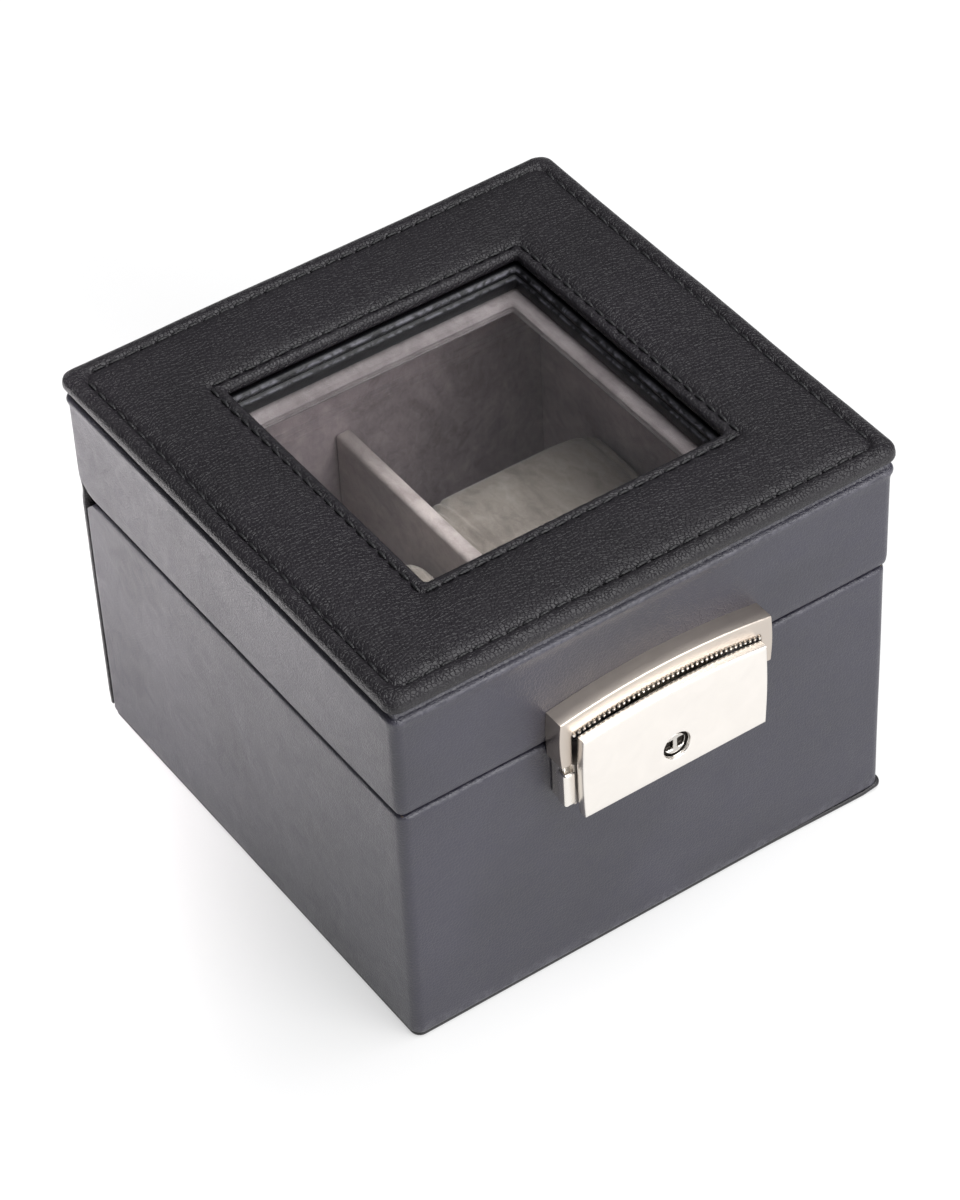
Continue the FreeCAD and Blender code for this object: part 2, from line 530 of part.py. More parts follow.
# Strike on the lid: an arched frame around the lock plate with a thin back
strike_blank = arched_body("strike_blank", "(strike_width / 2)", STRIKE_BOTTOM, STRIKE_END_TOP, "strike_rise",
                           "strike_depth", LID_FRONT)
strike_window = arched_body("strike_window", "(strike_width / 2 - strike_leg)",
                            "(%s - 5 * strike_back)" % STRIKE_BOTTOM, "(%s - strike_band)" % STRIKE_END_TOP,
                            "strike_rise", "strike_depth - strike_back", "%s - strike_back" % LID_FRONT)
strike_ring = cut("strike_ring", strike_blank, strike_window)
strike_foot = block("strike_foot", ("-(strike_width / 2 - strike_leg)", "%s - strike_back * 2" % LID_FRONT,
                                    "%s - strike_back" % STRIKE_BOTTOM),
                    ("strike_width / 2 - strike_leg", "%s + strike_back" % LID_FRONT,
                     "%s + strike_back_room" % LID_BOTTOM))
keep("strike_frame", cut("strike_frame_cut", strike_ring, strike_foot))

# Tongue of the strike, hung into the open top of the lock case
tongue_front = "(%s + tongue_room)" % CASE_INNER_FRONT
tongue_back = "(%s + tongue_thickness)" % tongue_front
strike_inner = "(%s - strike_back)" % LID_FRONT
tongue_foot_low = "(%s + 2 * strike_back)" % LID_BOTTOM
keep("strike_tongue", join("strike_tongue", [
    block("tongue_blade", ("-tongue_width / 2", tongue_front, "seam_height - tongue_below"),
          ("tongue_width / 2", tongue_back, "%s + strike_back" % tongue_foot_low)),
    block("tongue_foot", ("-tongue_width / 2", tongue_front, tongue_foot_low),
          ("tongue_width / 2", strike_inner, "%s + strike_back" % tongue_foot_low))]))


def front_screws(name, spacing, height, seat, bite):
    """Two screws driven from the front into the boards, heads in front of the seat."""
    screws = []
    for i, side in enumerate((-1, 1)):
        x = "%d * (%s) / 2" % (side, spacing)
        screws.append(join("%s_%d" % (name, i), [
            rod("%s_head_%d" % (name, i), (x, seat, height), "screw_head_radius", "screw_head", "-y"),
            rod("%s_shank_%d" % (name, i), (x, seat, height), "screw_radius", bite, "y")]))
    return keep(name, group(name, screws))


front_screws("strike_screws", "strike_screw_spacing", "seam_height + strike_screw_above", strike_inner,
             "strike_back + leather + screw_bite")

# Lock case on the base: open at the top, slotted in front for the plate's rivets and the barrel
case_block = block("case_block", ("-case_width / 2", CASE_FRONT, CASE_BOTTOM),
                   ("case_width / 2", BASE_FRONT, CASE_TOP))
case_room = block("case_room", ("-(case_width / 2 - case_side)", CASE_INNER_FRONT, CASE_FLOOR_TOP),
                  ("case_width / 2 - case_side", CASE_INNER_BACK, "%s + case_wall" % CASE_TOP))
barrel_slot = block("barrel_slot", ("-(shank_radius + slot_room)", "%s - case_wall" % CASE_FRONT,
                                    "%s - plate_travel - shank_radius - slot_room" % BARREL_Z),
                    ("shank_radius + slot_room", "%s + slot_room" % CASE_INNER_FRONT,
                     "%s + shank_radius + slot_room" % BARREL_Z))
rivet_slots = []
for i, side in enumerate((-1, 1)):
    rivet_x = "%d * rivet_spacing / 2" % side
    rivet_slots.append(block("rivet_slot_%d" % i,
                             ("%s - rivet_radius - slot_room" % rivet_x, "%s - case_wall" % CASE_FRONT,
                              "%s - plate_travel - rivet_radius - slot_room" % RIVET_Z),
                             ("%s + rivet_radius + slot_room" % rivet_x, "%s + slot_room" % CASE_INNER_FRONT,
                              "%s + rivet_radius + slot_room" % RIVET_Z)))
case_hollow = join("case_hollow", [case_room, barrel_slot] + rivet_slots)
keep("lock_case", cut("lock_case_cut", case_block, case_hollow))

# Screws that hold the lock case, driven from inside the front board into its solid ends
case_screws = []
for i, side in enumerate((-1, 1)):
    screw_x = "%d * case_screw_spacing / 2" % side
    screw_z = "(%s + %s) / 2" % (CASE_BOTTOM, CASE_TOP)
    case_screws.append(rod("case_screw_%d" % i, (screw_x, "-%s" % BASE_INSIDE_Y, screw_z),
                           "screw_radius", "board + leather + screw_bite", "-y"))
keep("lock_case_screws", group("lock_case_screws", case_screws))

# Lock plate, pressed down to open, with soft front edges and the bore for the barrel
plate = arched_body("lock_plate", "(plate_width / 2)", PLATE_BOTTOM, PLATE_END_TOP, "plate_rise",
                    "plate_thickness", PLATE_BACK)
bore_sketch = new_sketch(plate, "barrel_bore", "XZ_Plane")
bore_sketch.addGeometry(Part.Circle(V(0, size_of(BARREL_Z), 0), V(0, 0, 1),
                                    size_of("barrel_radius + barrel_room")), False)
for kind, ends, expression in (("DistanceY", (-1, 1, 0, 3), BARREL_Z),
                               ("Radius", (0,), "barrel_radius + barrel_room")):
    mark = bore_sketch.addConstraint(Sketcher.Constraint(kind, *ends, size_of(expression)))
    bore_sketch.setExpression("Constraints[%d]" % mark, bound(expression))
bore_sketch.addConstraint(Sketcher.Constraint("PointOnObject", 0, 3, -2))
bore = plate.newObject("PartDesign::Pocket", "Barrel_bore")
bore.Profile = bore_sketch
bore.setExpression("Length", bound("plate_thickness * 2"))
bore.Midplane = True
doc.recompute()
plate_front = -size_of("plate_thickness") + 0.01
plate_bore = size_of("barrel_radius + barrel_room") + 0.01
rounded(plate, bore, lambda edge: edge.BoundBox.YMax < plate_front and edge.BoundBox.XLength > plate_bore * 2
        or edge.BoundBox.YMax < plate_front and edge.BoundBox.XLength < 0.01, "plate_edge_radius")
keep("lock_plate", plate)

# Slider behind the case front, riveted to the plate, and the springs that push it up
keep("latch_slider", block("latch_slider", ("-slider_width / 2", SLIDER_FRONT, SLIDER_BOTTOM),
                           ("slider_width / 2", "%s + slider_thickness" % SLIDER_FRONT,
                            "%s + slider_height" % SLIDER_BOTTOM)))
keep("plate_rivets", group("plate_rivets", [
    rod("plate_rivet_%d" % i, ("%d * rivet_spacing / 2" % side, SLIDER_FRONT, RIVET_Z),
        "rivet_radius", "(%s) - (%s)" % (SLIDER_FRONT, PLATE_BACK), "-y") for i, side in enumerate((-1, 1))]))
keep("return_springs", group("return_springs", [
    rod("return_spring_%d" % i, ("%d * spring_spacing / 2" % side, "%s + slider_thickness / 2" % SLIDER_FRONT,
                                 CASE_FLOOR_TOP),
        "spring_radius", "%s - %s" % (SLIDER_BOTTOM, CASE_FLOOR_TOP), "z")
    for i, side in enumerate((-1, 1))]))

# Key barrel in the plate, with a shank through the case and a cam behind it
keep("lock_barrel", join("lock_barrel", [
    rod("barrel_head", ("0", PLATE_BACK, BARREL_Z), "barrel_radius",
        "plate_thickness - barrel_recess", "-y"),
    rod("barrel_shank", ("0", CAM_FRONT, BARREL_Z), "shank_radius",
        "(%s) - (%s)" % (CAM_FRONT, PLATE_BACK), "-y")]))
keep("lock_cam", join("lock_cam", [
    rod("cam_hub", ("0", CAM_BACK, BARREL_Z), "shank_radius", "cam_thickness", "-y"),
    block("cam_lever", ("-cam_width / 2", CAM_FRONT, BARREL_Z),
          ("cam_width / 2", CAM_BACK, "%s + cam_reach" % BARREL_Z))]))

# Check every object, then write one file per node
doc.recompute()
for item in doc.Objects:
    if "Invalid" in item.State or "Error" in item.State:
        raise RuntimeError("%s did not build: %s" % (item.Name, item.State))
for node in nodes:
    if node.Shape.isNull() or not node.Shape.isValid():
        raise RuntimeError("%s has no valid shape" % node.Label)
os.makedirs("parts", exist_ok=True)
for node in nodes:
    node.Shape.exportStep("parts/%s.step" % node.Label)
    print("%-22s %2d solid(s) %10.1f mm3" % (node.Label, len(node.Shape.Solids), node.Shape.Volume))
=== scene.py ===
import math

import bmesh
import bpy
import numpy as np
from mathutils import Matrix, Vector, noise


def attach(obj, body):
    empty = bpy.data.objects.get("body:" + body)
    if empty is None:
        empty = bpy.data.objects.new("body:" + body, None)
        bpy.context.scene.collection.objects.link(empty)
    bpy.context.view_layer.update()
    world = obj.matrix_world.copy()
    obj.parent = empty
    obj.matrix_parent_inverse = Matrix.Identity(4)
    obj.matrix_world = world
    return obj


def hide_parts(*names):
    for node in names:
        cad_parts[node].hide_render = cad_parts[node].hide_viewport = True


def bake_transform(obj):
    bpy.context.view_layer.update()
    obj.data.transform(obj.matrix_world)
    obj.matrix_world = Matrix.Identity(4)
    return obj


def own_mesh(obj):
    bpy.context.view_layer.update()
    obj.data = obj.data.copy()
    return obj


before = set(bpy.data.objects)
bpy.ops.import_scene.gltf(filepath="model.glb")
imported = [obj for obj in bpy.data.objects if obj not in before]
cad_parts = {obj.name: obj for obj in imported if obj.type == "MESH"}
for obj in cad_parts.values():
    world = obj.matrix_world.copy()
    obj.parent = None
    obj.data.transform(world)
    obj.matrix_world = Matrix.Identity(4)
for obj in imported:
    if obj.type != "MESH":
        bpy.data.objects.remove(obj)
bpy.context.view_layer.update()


# Base boards: four walls and a floor of pressed fibreboard, butted and glued into an open box.
# Only the bevelled top of the rear board ever shows, in the hinge channel, so the edges there are dyed.
def tone(red, green, blue):
    """A colour read off a screen, 0 to 255, as the linear colour that a shader takes."""
    return tuple((c / 255 / 12.92 if c < 10.3 else ((c / 255 + 0.055) / 1.055) ** 2.4)
                 for c in (red, green, blue)) + (1.0,)


def shader(tree, kind, sockets=None, **settings):
    """A shader node with its settings; a socket takes a value or another node's output."""
    made = tree.nodes.new("ShaderNode" + kind)
    for key, value in settings.items():
        setattr(made, key, value)
    for key, value in (sockets or {}).items():
        if isinstance(value, bpy.types.NodeSocket):
            tree.links.new(value, made.inputs[key])
        else:
            made.inputs[key].default_value = value
    return made


def stretch(tree, value, low, high, out_low=0.0, out_high=1.0):
    """A value moved from one range to another, held at both ends."""
    return shader(tree, "MapRange", {"Value": value, "From Min": low, "From Max": high,
                                     "To Min": out_low, "To Max": out_high}).outputs["Result"]


def between(tree, factor, a, b):
    """A colour between two others."""
    return shader(tree, "Mix", {0: factor, 6: a, 7: b}, data_type="RGBA").outputs[2]


def speckle(tree, place, scale, detail=3.0, distortion=0.0, roughness=0.5):
    """Noise of 0 to 1 at a scale per metre."""
    return shader(tree, "TexNoise", {"Vector": place, "Scale": scale, "Detail": detail,
                                     "Roughness": roughness, "Distortion": distortion}).outputs["Fac"]


def new_material(name, **sockets):
    """A material, its node tree, its Principled shader and the place on the piece in metres."""
    material = bpy.data.materials.new(name)
    material.use_nodes = True
    tree = material.node_tree
    skin = tree.nodes["Principled BSDF"]
    for key, value in sockets.items():
        skin.inputs[key.replace("_", " ")].default_value = value
    return material, tree, skin, tree.nodes.new("ShaderNodeTexCoord").outputs["Object"]


def raised(tree, skin, height, distance, strength=1.0):
    """Relief on a Principled shader from a height of 0 to 1 and its depth in metres."""
    bump = shader(tree, "Bump", {"Height": height, "Distance": distance, "Strength": strength})
    tree.links.new(bump.outputs["Normal"], skin.inputs["Normal"])


def finish_nodes(material, *names):
    """Give CAD nodes that show as they are their material."""
    for name in names:
        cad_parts[name].data.materials.clear()
        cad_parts[name].data.materials.append(material)


fibreboard, tree, skin, place = new_material("fibreboard", Roughness=0.88)
fibres = speckle(tree, place, 900, 4, 0.6)
raw = between(tree, stretch(tree, fibres, 0.3, 0.7), tone(88, 74, 60), tone(134, 118, 98))
dyed = between(tree, stretch(tree, fibres, 0.3, 0.7), tone(22, 21, 23), tone(36, 34, 36))
rearward = shader(tree, "SeparateXYZ", {0: place}).outputs["Y"]
near_channel = stretch(tree, rearward, 0.0560, 0.0572)
tree.links.new(between(tree, near_channel, raw, dyed), skin.inputs["Base Color"])
raised(tree, skin, fibres, 0.00012)
finish_nodes(fibreboard, "base_front_board", "base_back_board", "base_left_board", "base_right_board",
             "base_floor_board")

# Bottom cover: a sheet of leathercloth-faced card glued under the base, with a soft, slightly uneven edge.
# It lies just inside the walls; at the right front corner it has come away and stands out as a small lip.
QUARTER_TURNS = ((1, 0), (0, 1), (-1, 0), (0, -1))


def square_row(half, radius, height, along, turn):
    """Points anticlockwise round a square with round corners, at one height, in millimetres."""
    flat = half - radius
    side = [(flat * (2 * i / along - 1), -half) for i in range(along)]
    for i in range(turn):
        angle = math.radians(90 * i / turn - 90)
        side.append((flat + radius * math.cos(angle), -flat + radius * math.sin(angle)))
    return [(c * x - s * y, s * x + c * y, height) for c, s in QUARTER_TURNS for x, y in side]


def ring_faces(count, rings, first=0, turned=False):
    """Faces between closed rings of points, numbered from the first, and turned over if asked."""
    faces = []
    for r in range(rings - 1):
        for i in range(count):
            a, b = first + r * count + i, first + r * count + (i + 1) % count
            faces.append((a, a + count, b + count, b) if turned else (a, b, b + count, a + count))
    return faces


def band(rows, along, turn):
    """Points and faces of a skin through square rows of (half width, corner radius, height)."""
    points = [point for half, radius, height in rows
              for point in square_row(half, radius, height, along, turn)]
    return np.array(points), ring_faces(4 * (along + turn), len(rows))


def uneven(points, amount, scale, seed=0.0):
    """Slow unevenness up to about the amount for each point, from noise at a scale per millimetre."""
    return np.array([amount * noise.noise(Vector(p) * scale + Vector((seed, 0, 0))) for p in points])


def new_object(name, data):
    """An object in the scene that shows a mesh, a lamp or a camera."""
    made = bpy.data.objects.new(name, data)
    bpy.context.scene.collection.objects.link(made)
    return made


def make_mesh(name, points, faces, material, wear_and_highlight=None, sharp=None):
    """An object from points in millimetres, smooth shaded, with an optional value for each point that marks
    rubbed wear on some pieces and painted highlights on others.
    """
    mesh = bpy.data.meshes.new(name)
    mesh.from_pydata([tuple(0.001 * c for c in p) for p in points], [], faces)
    mesh.validate()
    mesh.shade_smooth()
    if sharp:
        mesh.set_sharp_from_angle(angle=math.radians(sharp))
    if wear_and_highlight is not None:
        marks = mesh.attributes.new("wear_and_highlight", "FLOAT", "POINT")
        marks.data.foreach_set("value", np.asarray(wear_and_highlight, np.float32))
    mesh.materials.append(material)
    return new_object(name, mesh)


def place_piece(made, body, slot, *stands_for):
    """Let a piece ride on a body and hide the CAD nodes that it stands for; the finish (slot) is not used.
    """
    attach(made, body)
    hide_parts(*stands_for)


def new_group(name, inputs, outputs):
    """A shader node group with named sockets; gives its tree, its inputs and its output node."""
    group = bpy.data.node_groups.new(name, "ShaderNodeTree")
    for side, sockets in (("INPUT", inputs), ("OUTPUT", outputs)):
        for label, kind in sockets:
            group.interface.new_socket(label, in_out=side, socket_type="NodeSocket" + kind)
    return group, group.nodes.new("NodeGroupInput").outputs, group.nodes.new("NodeGroupOutput").inputs


def math_of(tree, operation, a, b=0.0, c=0.0):
    """What a math node makes of up to three values."""
    return shader(tree, "Math", {0: a, 1: b, 2: c}, operation=operation).outputs[0]


leather_grain, given, result = new_group(
    "leather_grain", [("Place", "Vector"), ("Tint", "Color"), ("Rubbed_and_highlight", "Color"), ("Wear_and_highlight", "Float")],
    [("Color", "Color"), ("Roughness", "Float"), ("Height", "Float")])
pores = shader(leather_grain, "TexVoronoi", {"Vector": given["Place"], "Scale": 1150.0, "Randomness": 1.0},
               feature="DISTANCE_TO_EDGE").outputs["Distance"]
pebbles = stretch(leather_grain, pores, 0.0, 0.16)
fine = speckle(leather_grain, given["Place"], 2600, 2)
creases = speckle(leather_grain, given["Place"], 170, 5, 1.4, 0.6)
patches = speckle(leather_grain, given["Place"], 28, 3, 0.5)
# The mark moves the colour towards the paler one, broken up by noise: rubbed wear on some pieces, painted
# highlight on others.
scuffs_and_highlights = math_of(leather_grain, "MULTIPLY", given["Wear_and_highlight"],
                 stretch(leather_grain, speckle(leather_grain, given["Place"], 420, 4, 1.0), 0.42, 0.62))
blotches = math_of(leather_grain, "ADD", patches, math_of(leather_grain, "MULTIPLY", creases, 0.5))
mottle = stretch(leather_grain, blotches, 0.55, 0.95, 0.78, 1.15)
tinted = shader(leather_grain, "VectorMath", {0: given["Tint"], "Scale": mottle}, operation="SCALE")
scuffed_and_highlighted = between(leather_grain, scuffs_and_highlights, tinted.outputs["Vector"], given["Rubbed_and_highlight"])
leather_grain.links.new(scuffed_and_highlighted, result["Color"])
leather_grain.links.new(math_of(leather_grain, "MULTIPLY_ADD", patches, -0.14,
                                stretch(leather_grain, creases, 0.3, 0.7, 0.42, 0.53)), result["Roughness"])
leather_grain.links.new(math_of(leather_grain, "ADD", math_of(leather_grain, "MULTIPLY", pebbles, 0.45),
                                math_of(leather_grain, "MULTIPLY_ADD", creases, 0.9,
                                        math_of(leather_grain, "MULTIPLY", fine, 0.25))), result["Height"])


def grained(tree, skin, group, sockets, relief):
    """Give a Principled shader the colour, roughness and relief that a node group makes."""
    grain = shader(tree, "Group", sockets, node_tree=group)
    tree.links.new(grain.outputs["Color"], skin.inputs["Base Color"])
    tree.links.new(grain.outputs["Roughness"], skin.inputs["Roughness"])
    raised(tree, skin, grain.outputs["Height"], relief)


def leather(name, tint, rubbed_and_highlight, relief, gloss=0.5):
    """Black box leather: fine pores over soft creases, paler where its mark is set: rubbed wear on some
    pieces, a painted highlight on others.
    """
    material, tree, skin, place = new_material(name, Specular_IOR_Level=gloss)
    wear_and_highlight_mark = shader(tree, "Attribute", attribute_name="wear_and_highlight").outputs["Fac"]
    sockets = {"Place": place, "Tint": tint, "Rubbed_and_highlight": rubbed_and_highlight, "Wear_and_highlight": wear_and_highlight_mark}
    grained(tree, skin, leather_grain, sockets, relief)
    return material


cover_leather = leather("cover_leather", tone(34, 33, 36), tone(80, 78, 82), 0.00006)
rows = [(40.0, 0.5, 0.05), (62.0, 1.8, 0.0), (62.4, 2.1, 0.12), (62.6, 2.3, 0.4), (62.6, 2.3, 0.8),
        (62.5, 2.2, 1.1), (62.1, 1.8, 1.2), (61.5, 1.0, 1.2)]
points, faces = band(rows, 60, 6)
points[:, :2] *= 1 + uneven(points, 0.0008, 0.06)[:, None]
CARD_CORNER = 62.0
lifted = np.exp(-((points[:, 0] - CARD_CORNER) / 20) ** 2 - ((points[:, 1] + CARD_CORNER) / 12) ** 2)
right_edge = points[:, 0] > 60
points[:, 0] += np.where(right_edge, 1.2 * lifted, 0)
points[:, 1] -= np.where(points[:, 1] < -60, 0.7 * lifted, 0)
points[:, 2] += np.where(np.abs(points[:, :2]).max(1) > 61.8, 0.5 * lifted, 0) * right_edge
ring = len(points) // len(rows)
faces += [tuple(reversed(range(ring))), tuple(range(len(points) - ring, len(points)))]
wear_and_highlight = np.full(len(points), 0.1)
place_piece(make_mesh("bottom_card", points, faces, cover_leather, wear_and_highlight), "base", "leather", "bottom_cover")

# Base leather: one band of thin black leather glued round the four walls and turned over the rim.
# Its upright corners are soft. At the front the rolls of the rim and of the foot carry a painted highlight,
# paler and broken up by scuff noise.
# Its paler colour serves the painted highlights along the front rolls.
side_leather = leather("side_leather", tone(41, 39, 54), tone(96, 94, 104), 0.00009, 0.8)
RIM = 67.45
CHANNEL = 57.7


def ridge(points, height, width):
    """From 1 at one height down to 0 away from it, for each point."""
    return np.exp(-((points[:, 2] - height) / width) ** 2)


rows = [(61.9, 1.7, 1.22), (62.45, 2.1, 1.25), (62.8, 2.35, 1.5), (62.95, 2.45, 1.85), (63.0, 2.5, 2.2)]
rows += [(63.0, 2.5, 2.2 + 63.0 * i / 24) for i in range(1, 25)]
rows += [(63.0, 2.5, 66.1), (62.96, 2.45, 66.6), (62.85, 2.2, 67.0), (62.6, 1.9, 67.3), (62.25, 1.6, 67.5),
         (61.8, 1.2, 67.58), (60.3, 1.0, 67.6), (58.0, 0.6, 67.58), (56.62, 0.3, 67.55)]
points, faces = band(rows, 60, 8)
walls = (points[:, 2] > 4) & (points[:, 2] < 66)
points[:, :2] *= 1 + np.where(walls, uneven(points, 0.0016, 0.035), 0)[:, None]
rim = points[:, 2] > 65.5
points[:, 2] += np.where(rim, uneven(points, 0.08, 0.06, 3.0), 0)
bevel = RIM - 0.06 - np.maximum(points[:, 1] - CHANNEL, 0)
points[:, 2] = np.where(points[:, 1] > CHANNEL, np.minimum(points[:, 2], bevel), points[:, 2])
front = points[:, 1] < -61.5
# Painted highlight along the front rolls of the rim and of the foot.
wear_and_highlight = front * (0.35 * ridge(points, 67.2, 0.6) + 0.5 * ridge(points, 2.2, 1.0))
place_piece(make_mesh("base_cover", points, faces, side_leather, wear_and_highlight), "base", "leather", "base_leather")

# Suede liners of the base: thin boards wrapped in grey suede cloth, glued to the walls and the floor.
# The four walls stand above the rim as a collar that the lid slides over; their wrapped edges are round,
# and three folds of the cloth run along each wall a little below the rim.
suede_nap, given, result = new_group(
    "suede_nap", [("Place", "Vector"), ("Tint", "Color"), ("Brushed", "Color")],
    [("Color", "Color"), ("Roughness", "Float"), ("Height", "Float")])
lay = shader(suede_nap, "Mapping", {"Vector": given["Place"], "Rotation": (0.5, 0.35, 0.6),
                                    "Scale": (1.0, 0.55, 0.8)}).outputs["Vector"]
strokes = speckle(suede_nap, lay, 62, 5, 1.2, 0.62)
tufts = speckle(suede_nap, lay, 420, 4, 0.8, 0.65)
pile = speckle(suede_nap, given["Place"], 3800, 2)
combed = math_of(suede_nap, "MULTIPLY_ADD", tufts, 0.45, math_of(suede_nap, "MULTIPLY", strokes, 0.75))
shown = stretch(suede_nap, math_of(suede_nap, "MULTIPLY_ADD", pile, 0.18, combed), 0.48, 0.86)
suede_nap.links.new(between(suede_nap, shown, given["Tint"], given["Brushed"]), result["Color"])
suede_nap.links.new(stretch(suede_nap, tufts, 0.3, 0.7, 0.86, 0.98), result["Roughness"])
brushed_height = math_of(suede_nap, "MULTIPLY", combed, 0.9)
suede_nap.links.new(math_of(suede_nap, "MULTIPLY_ADD", pile, 0.5, brushed_height), result["Height"])


def suede(name, tint, brushed, relief):
    """Suede cloth: a short pile that shows lighter and darker strokes where it has been brushed."""
    material, tree, skin, place = new_material(name, Specular_IOR_Level=0.2, Sheen_Weight=0.25,
                                               Sheen_Roughness=0.5)
    grained(tree, skin, suede_nap, {"Place": place, "Tint": tint, "Brushed": brushed}, relief)
    return material


def plain_block(low, high):
    """A block with sharp edges as an open bmesh, with its size and its middle."""
    body = bmesh.new()
    size = [h - l for l, h in zip(low, high)]
    middle = [(l + h) / 2 for l, h in zip(low, high)]
    bmesh.ops.create_cube(body, size=1, matrix=Matrix.Translation(middle) @ Matrix.Diagonal((*size, 1)))
    return body, size, middle


def soft_block(low, high, radius, steps=3):
    """Points and faces of a block with round edges; a narrow margin keeps its faces flat."""
    body = plain_block(low, high)[0]
    bmesh.ops.bevel(body, geom=body.edges[:], offset=radius, segments=steps, profile=0.5, affect="EDGES")
    sides = [face for face in body.faces if face.calc_area() > 4 * radius * radius and len(face.verts) == 4
             and max(abs(c) for c in face.normal) > 0.999]
    bmesh.ops.inset_individual(body, faces=sides, thickness=radius * 0.4, use_even_offset=True)
    body.verts.index_update()
    points = np.array([tuple(v.co) for v in body.verts])
    faces = [tuple(v.index for v in face.verts) for face in body.faces]
    body.free()
    return points, faces


wall_suede = suede("wall_suede", tone(128, 115, 118), tone(182, 167, 170), 0.00018)
COLLAR_TOP = 71.45
FOLDS = (60.4, 62.1, 63.8)
FOLD_HEIGHT = 0.8
FOLD_STANDS = 0.22
for name, low, high in (("floor_liner", (-56.5, -56.5, 6.2), (56.5, 56.5, 7.4)),
                        ("base_front_liner", (-56.5, -56.5, 7.4), (56.5, -55, COLLAR_TOP)),
                        ("base_back_liner", (-56.5, 55, 7.4), (56.5, 56.5, COLLAR_TOP)),
                        ("base_left_liner", (-56.5, -55, 7.4), (-55, 55, COLLAR_TOP)),
                        ("base_right_liner", (55, -55, 7.4), (56.5, 55, COLLAR_TOP))):
    points, faces = soft_block(low, high, 0.45)
    across = [0 if high[k] - low[k] > 3 else np.sign(low[k]) for k in (0, 1)]
    for fold in FOLDS if name != "floor_liner" else ():
        bead_low = [low[k] - FOLD_STANDS if across[k] > 0 else low[k] + 0.3 for k in (0, 1)] + [fold]
        bead_high = [high[k] + FOLD_STANDS if across[k] < 0 else high[k] - 0.3 for k in (0, 1)]
        bead_high.append(fold + FOLD_HEIGHT)
        bead_points, bead_faces = soft_block(bead_low, bead_high, 0.3)
        faces += [tuple(len(points) + i for i in face) for face in bead_faces]
        points = np.vstack([points, bead_points])
    place_piece(make_mesh("suede_" + name, points, faces, wall_suede), "base", "suede", name)

# Divider: a stiff card folded over and wrapped in the same suede, standing between the two places.
# Its top is the soft fold of the card, so its edges there are round.
points, faces = soft_block((-2.0, -55.0, 7.4), (2.0, 55.0, 57.0), 1.0, 5)
fold = np.clip((points[:, 2] - 54) / 3, 0, 1)
points[:, 0] += uneven(points, 0.25, 0.05, 9.0) * (1 - fold)
points[:, 2] += uneven(points, 0.30, 0.06, 4.0) * fold
divider_suede = suede("divider_suede", tone(136, 124, 122), tone(188, 176, 173), 0.00018)
place_piece(make_mesh("suede_divider", points, faces, divider_suede), "base", "suede", "divider")

# Watch pillows: stuffed suede cushions that lie one in each place and lift out.
# The tube is blown up by cloth pressure; each end panel is sewn in a little inside the end, which draws
# the tube in along a double seam at the divider and a single seam at the wall.
PILLOW = {"start": 3.5, "end": 53.5, "half_depth": 37.5, "low": 7.7, "high": 50.0, "round": 12.0}
MOST_SWELL = 1.6
SEAM_PLACE_DEPTH_WIDTH = ((4.9, 1.8, 0.65), (7.3, 1.8, 0.65), (45.8, 1.5, 0.7))
LEFT_LIES_FORWARD = 12.0


def pillow_blank(shrink):
    """A rounded block that the stuffing blows up into the pillow, in millimetres."""
    low = (PILLOW["start"] + shrink, -PILLOW["half_depth"] + shrink, PILLOW["low"] + 0.3)
    high = (PILLOW["end"] - shrink, PILLOW["half_depth"] - shrink, PILLOW["high"] - shrink)
    body, size, middle = plain_block(low, high)
    lengthwise = [e for e in body.edges if abs(e.verts[0].co.x - e.verts[1].co.x) > 1]
    bmesh.ops.bevel(body, geom=lengthwise, offset=PILLOW["round"], segments=10, profile=0.5, affect="EDGES")
    ends = [e for e in body.edges if abs(abs(e.verts[0].co.x - middle[0]) - size[0] / 2) < 0.01
            and abs(e.verts[0].co.x - e.verts[1].co.x) < 0.01]
    bmesh.ops.bevel(body, geom=ends, offset=2.2, segments=4, profile=0.5, affect="EDGES")
    mesh = bpy.data.meshes.new("pillow_blank")
    body.to_mesh(mesh)
    body.free()
    mesh.transform(Matrix.Scale(0.001, 4))
    return new_object("pillow_blank", mesh)


def with_modifiers(made):
    """The mesh of an object as its modifiers make it, as plain points in millimetres and faces."""
    shown = made.evaluated_get(bpy.context.evaluated_depsgraph_get())
    mesh = shown.to_mesh()
    points = np.array([tuple(1000 * c for c in v.co) for v in mesh.vertices])
    faces = [tuple(p.vertices) for p in mesh.polygons]
    shown.to_mesh_clear()
    return points, faces


def stuffed_pillow():
    """Points and faces of the right-hand pillow after its stuffing has pushed the cover out."""
    blank = pillow_blank(1.0)
    remesh = blank.modifiers.new("even_cloth", "REMESH")
    remesh.mode, remesh.voxel_size = "VOXEL", 0.0026
    points, faces = with_modifiers(blank)
    bpy.data.objects.remove(blank)
    cover = bpy.data.meshes.new("pillow_cover")
    cover.from_pydata([tuple(0.001 * c for c in p) for p in points], [], faces)
    made = new_object("pillow_cover", cover)
    cloth = made.modifiers.new("stuffing", "CLOTH").settings
    cloth.use_pressure = True
    cloth.uniform_pressure_force = 4.0
    cloth.effector_weights.gravity = 0
    cloth.tension_stiffness = cloth.compression_stiffness = 40
    for step in range(1, 21):
        bpy.context.scene.frame_set(step)
    move = with_modifiers(made)[0] - points
    reach = np.linalg.norm(move, axis=1, keepdims=True)
    points = points + move * np.minimum(1, MOST_SWELL / np.maximum(reach, 1e-9))
    made.modifiers.clear()
    bpy.context.scene.frame_set(1)
    made.data.vertices.foreach_set("co", (0.001 * points).astype(np.float32).ravel())
    made.data.update()
    smooth = made.modifiers.new("smooth", "SUBSURF")
    smooth.levels = smooth.render_levels = 2
    points, faces = with_modifiers(made)
    bpy.data.objects.remove(made)
    return points, faces


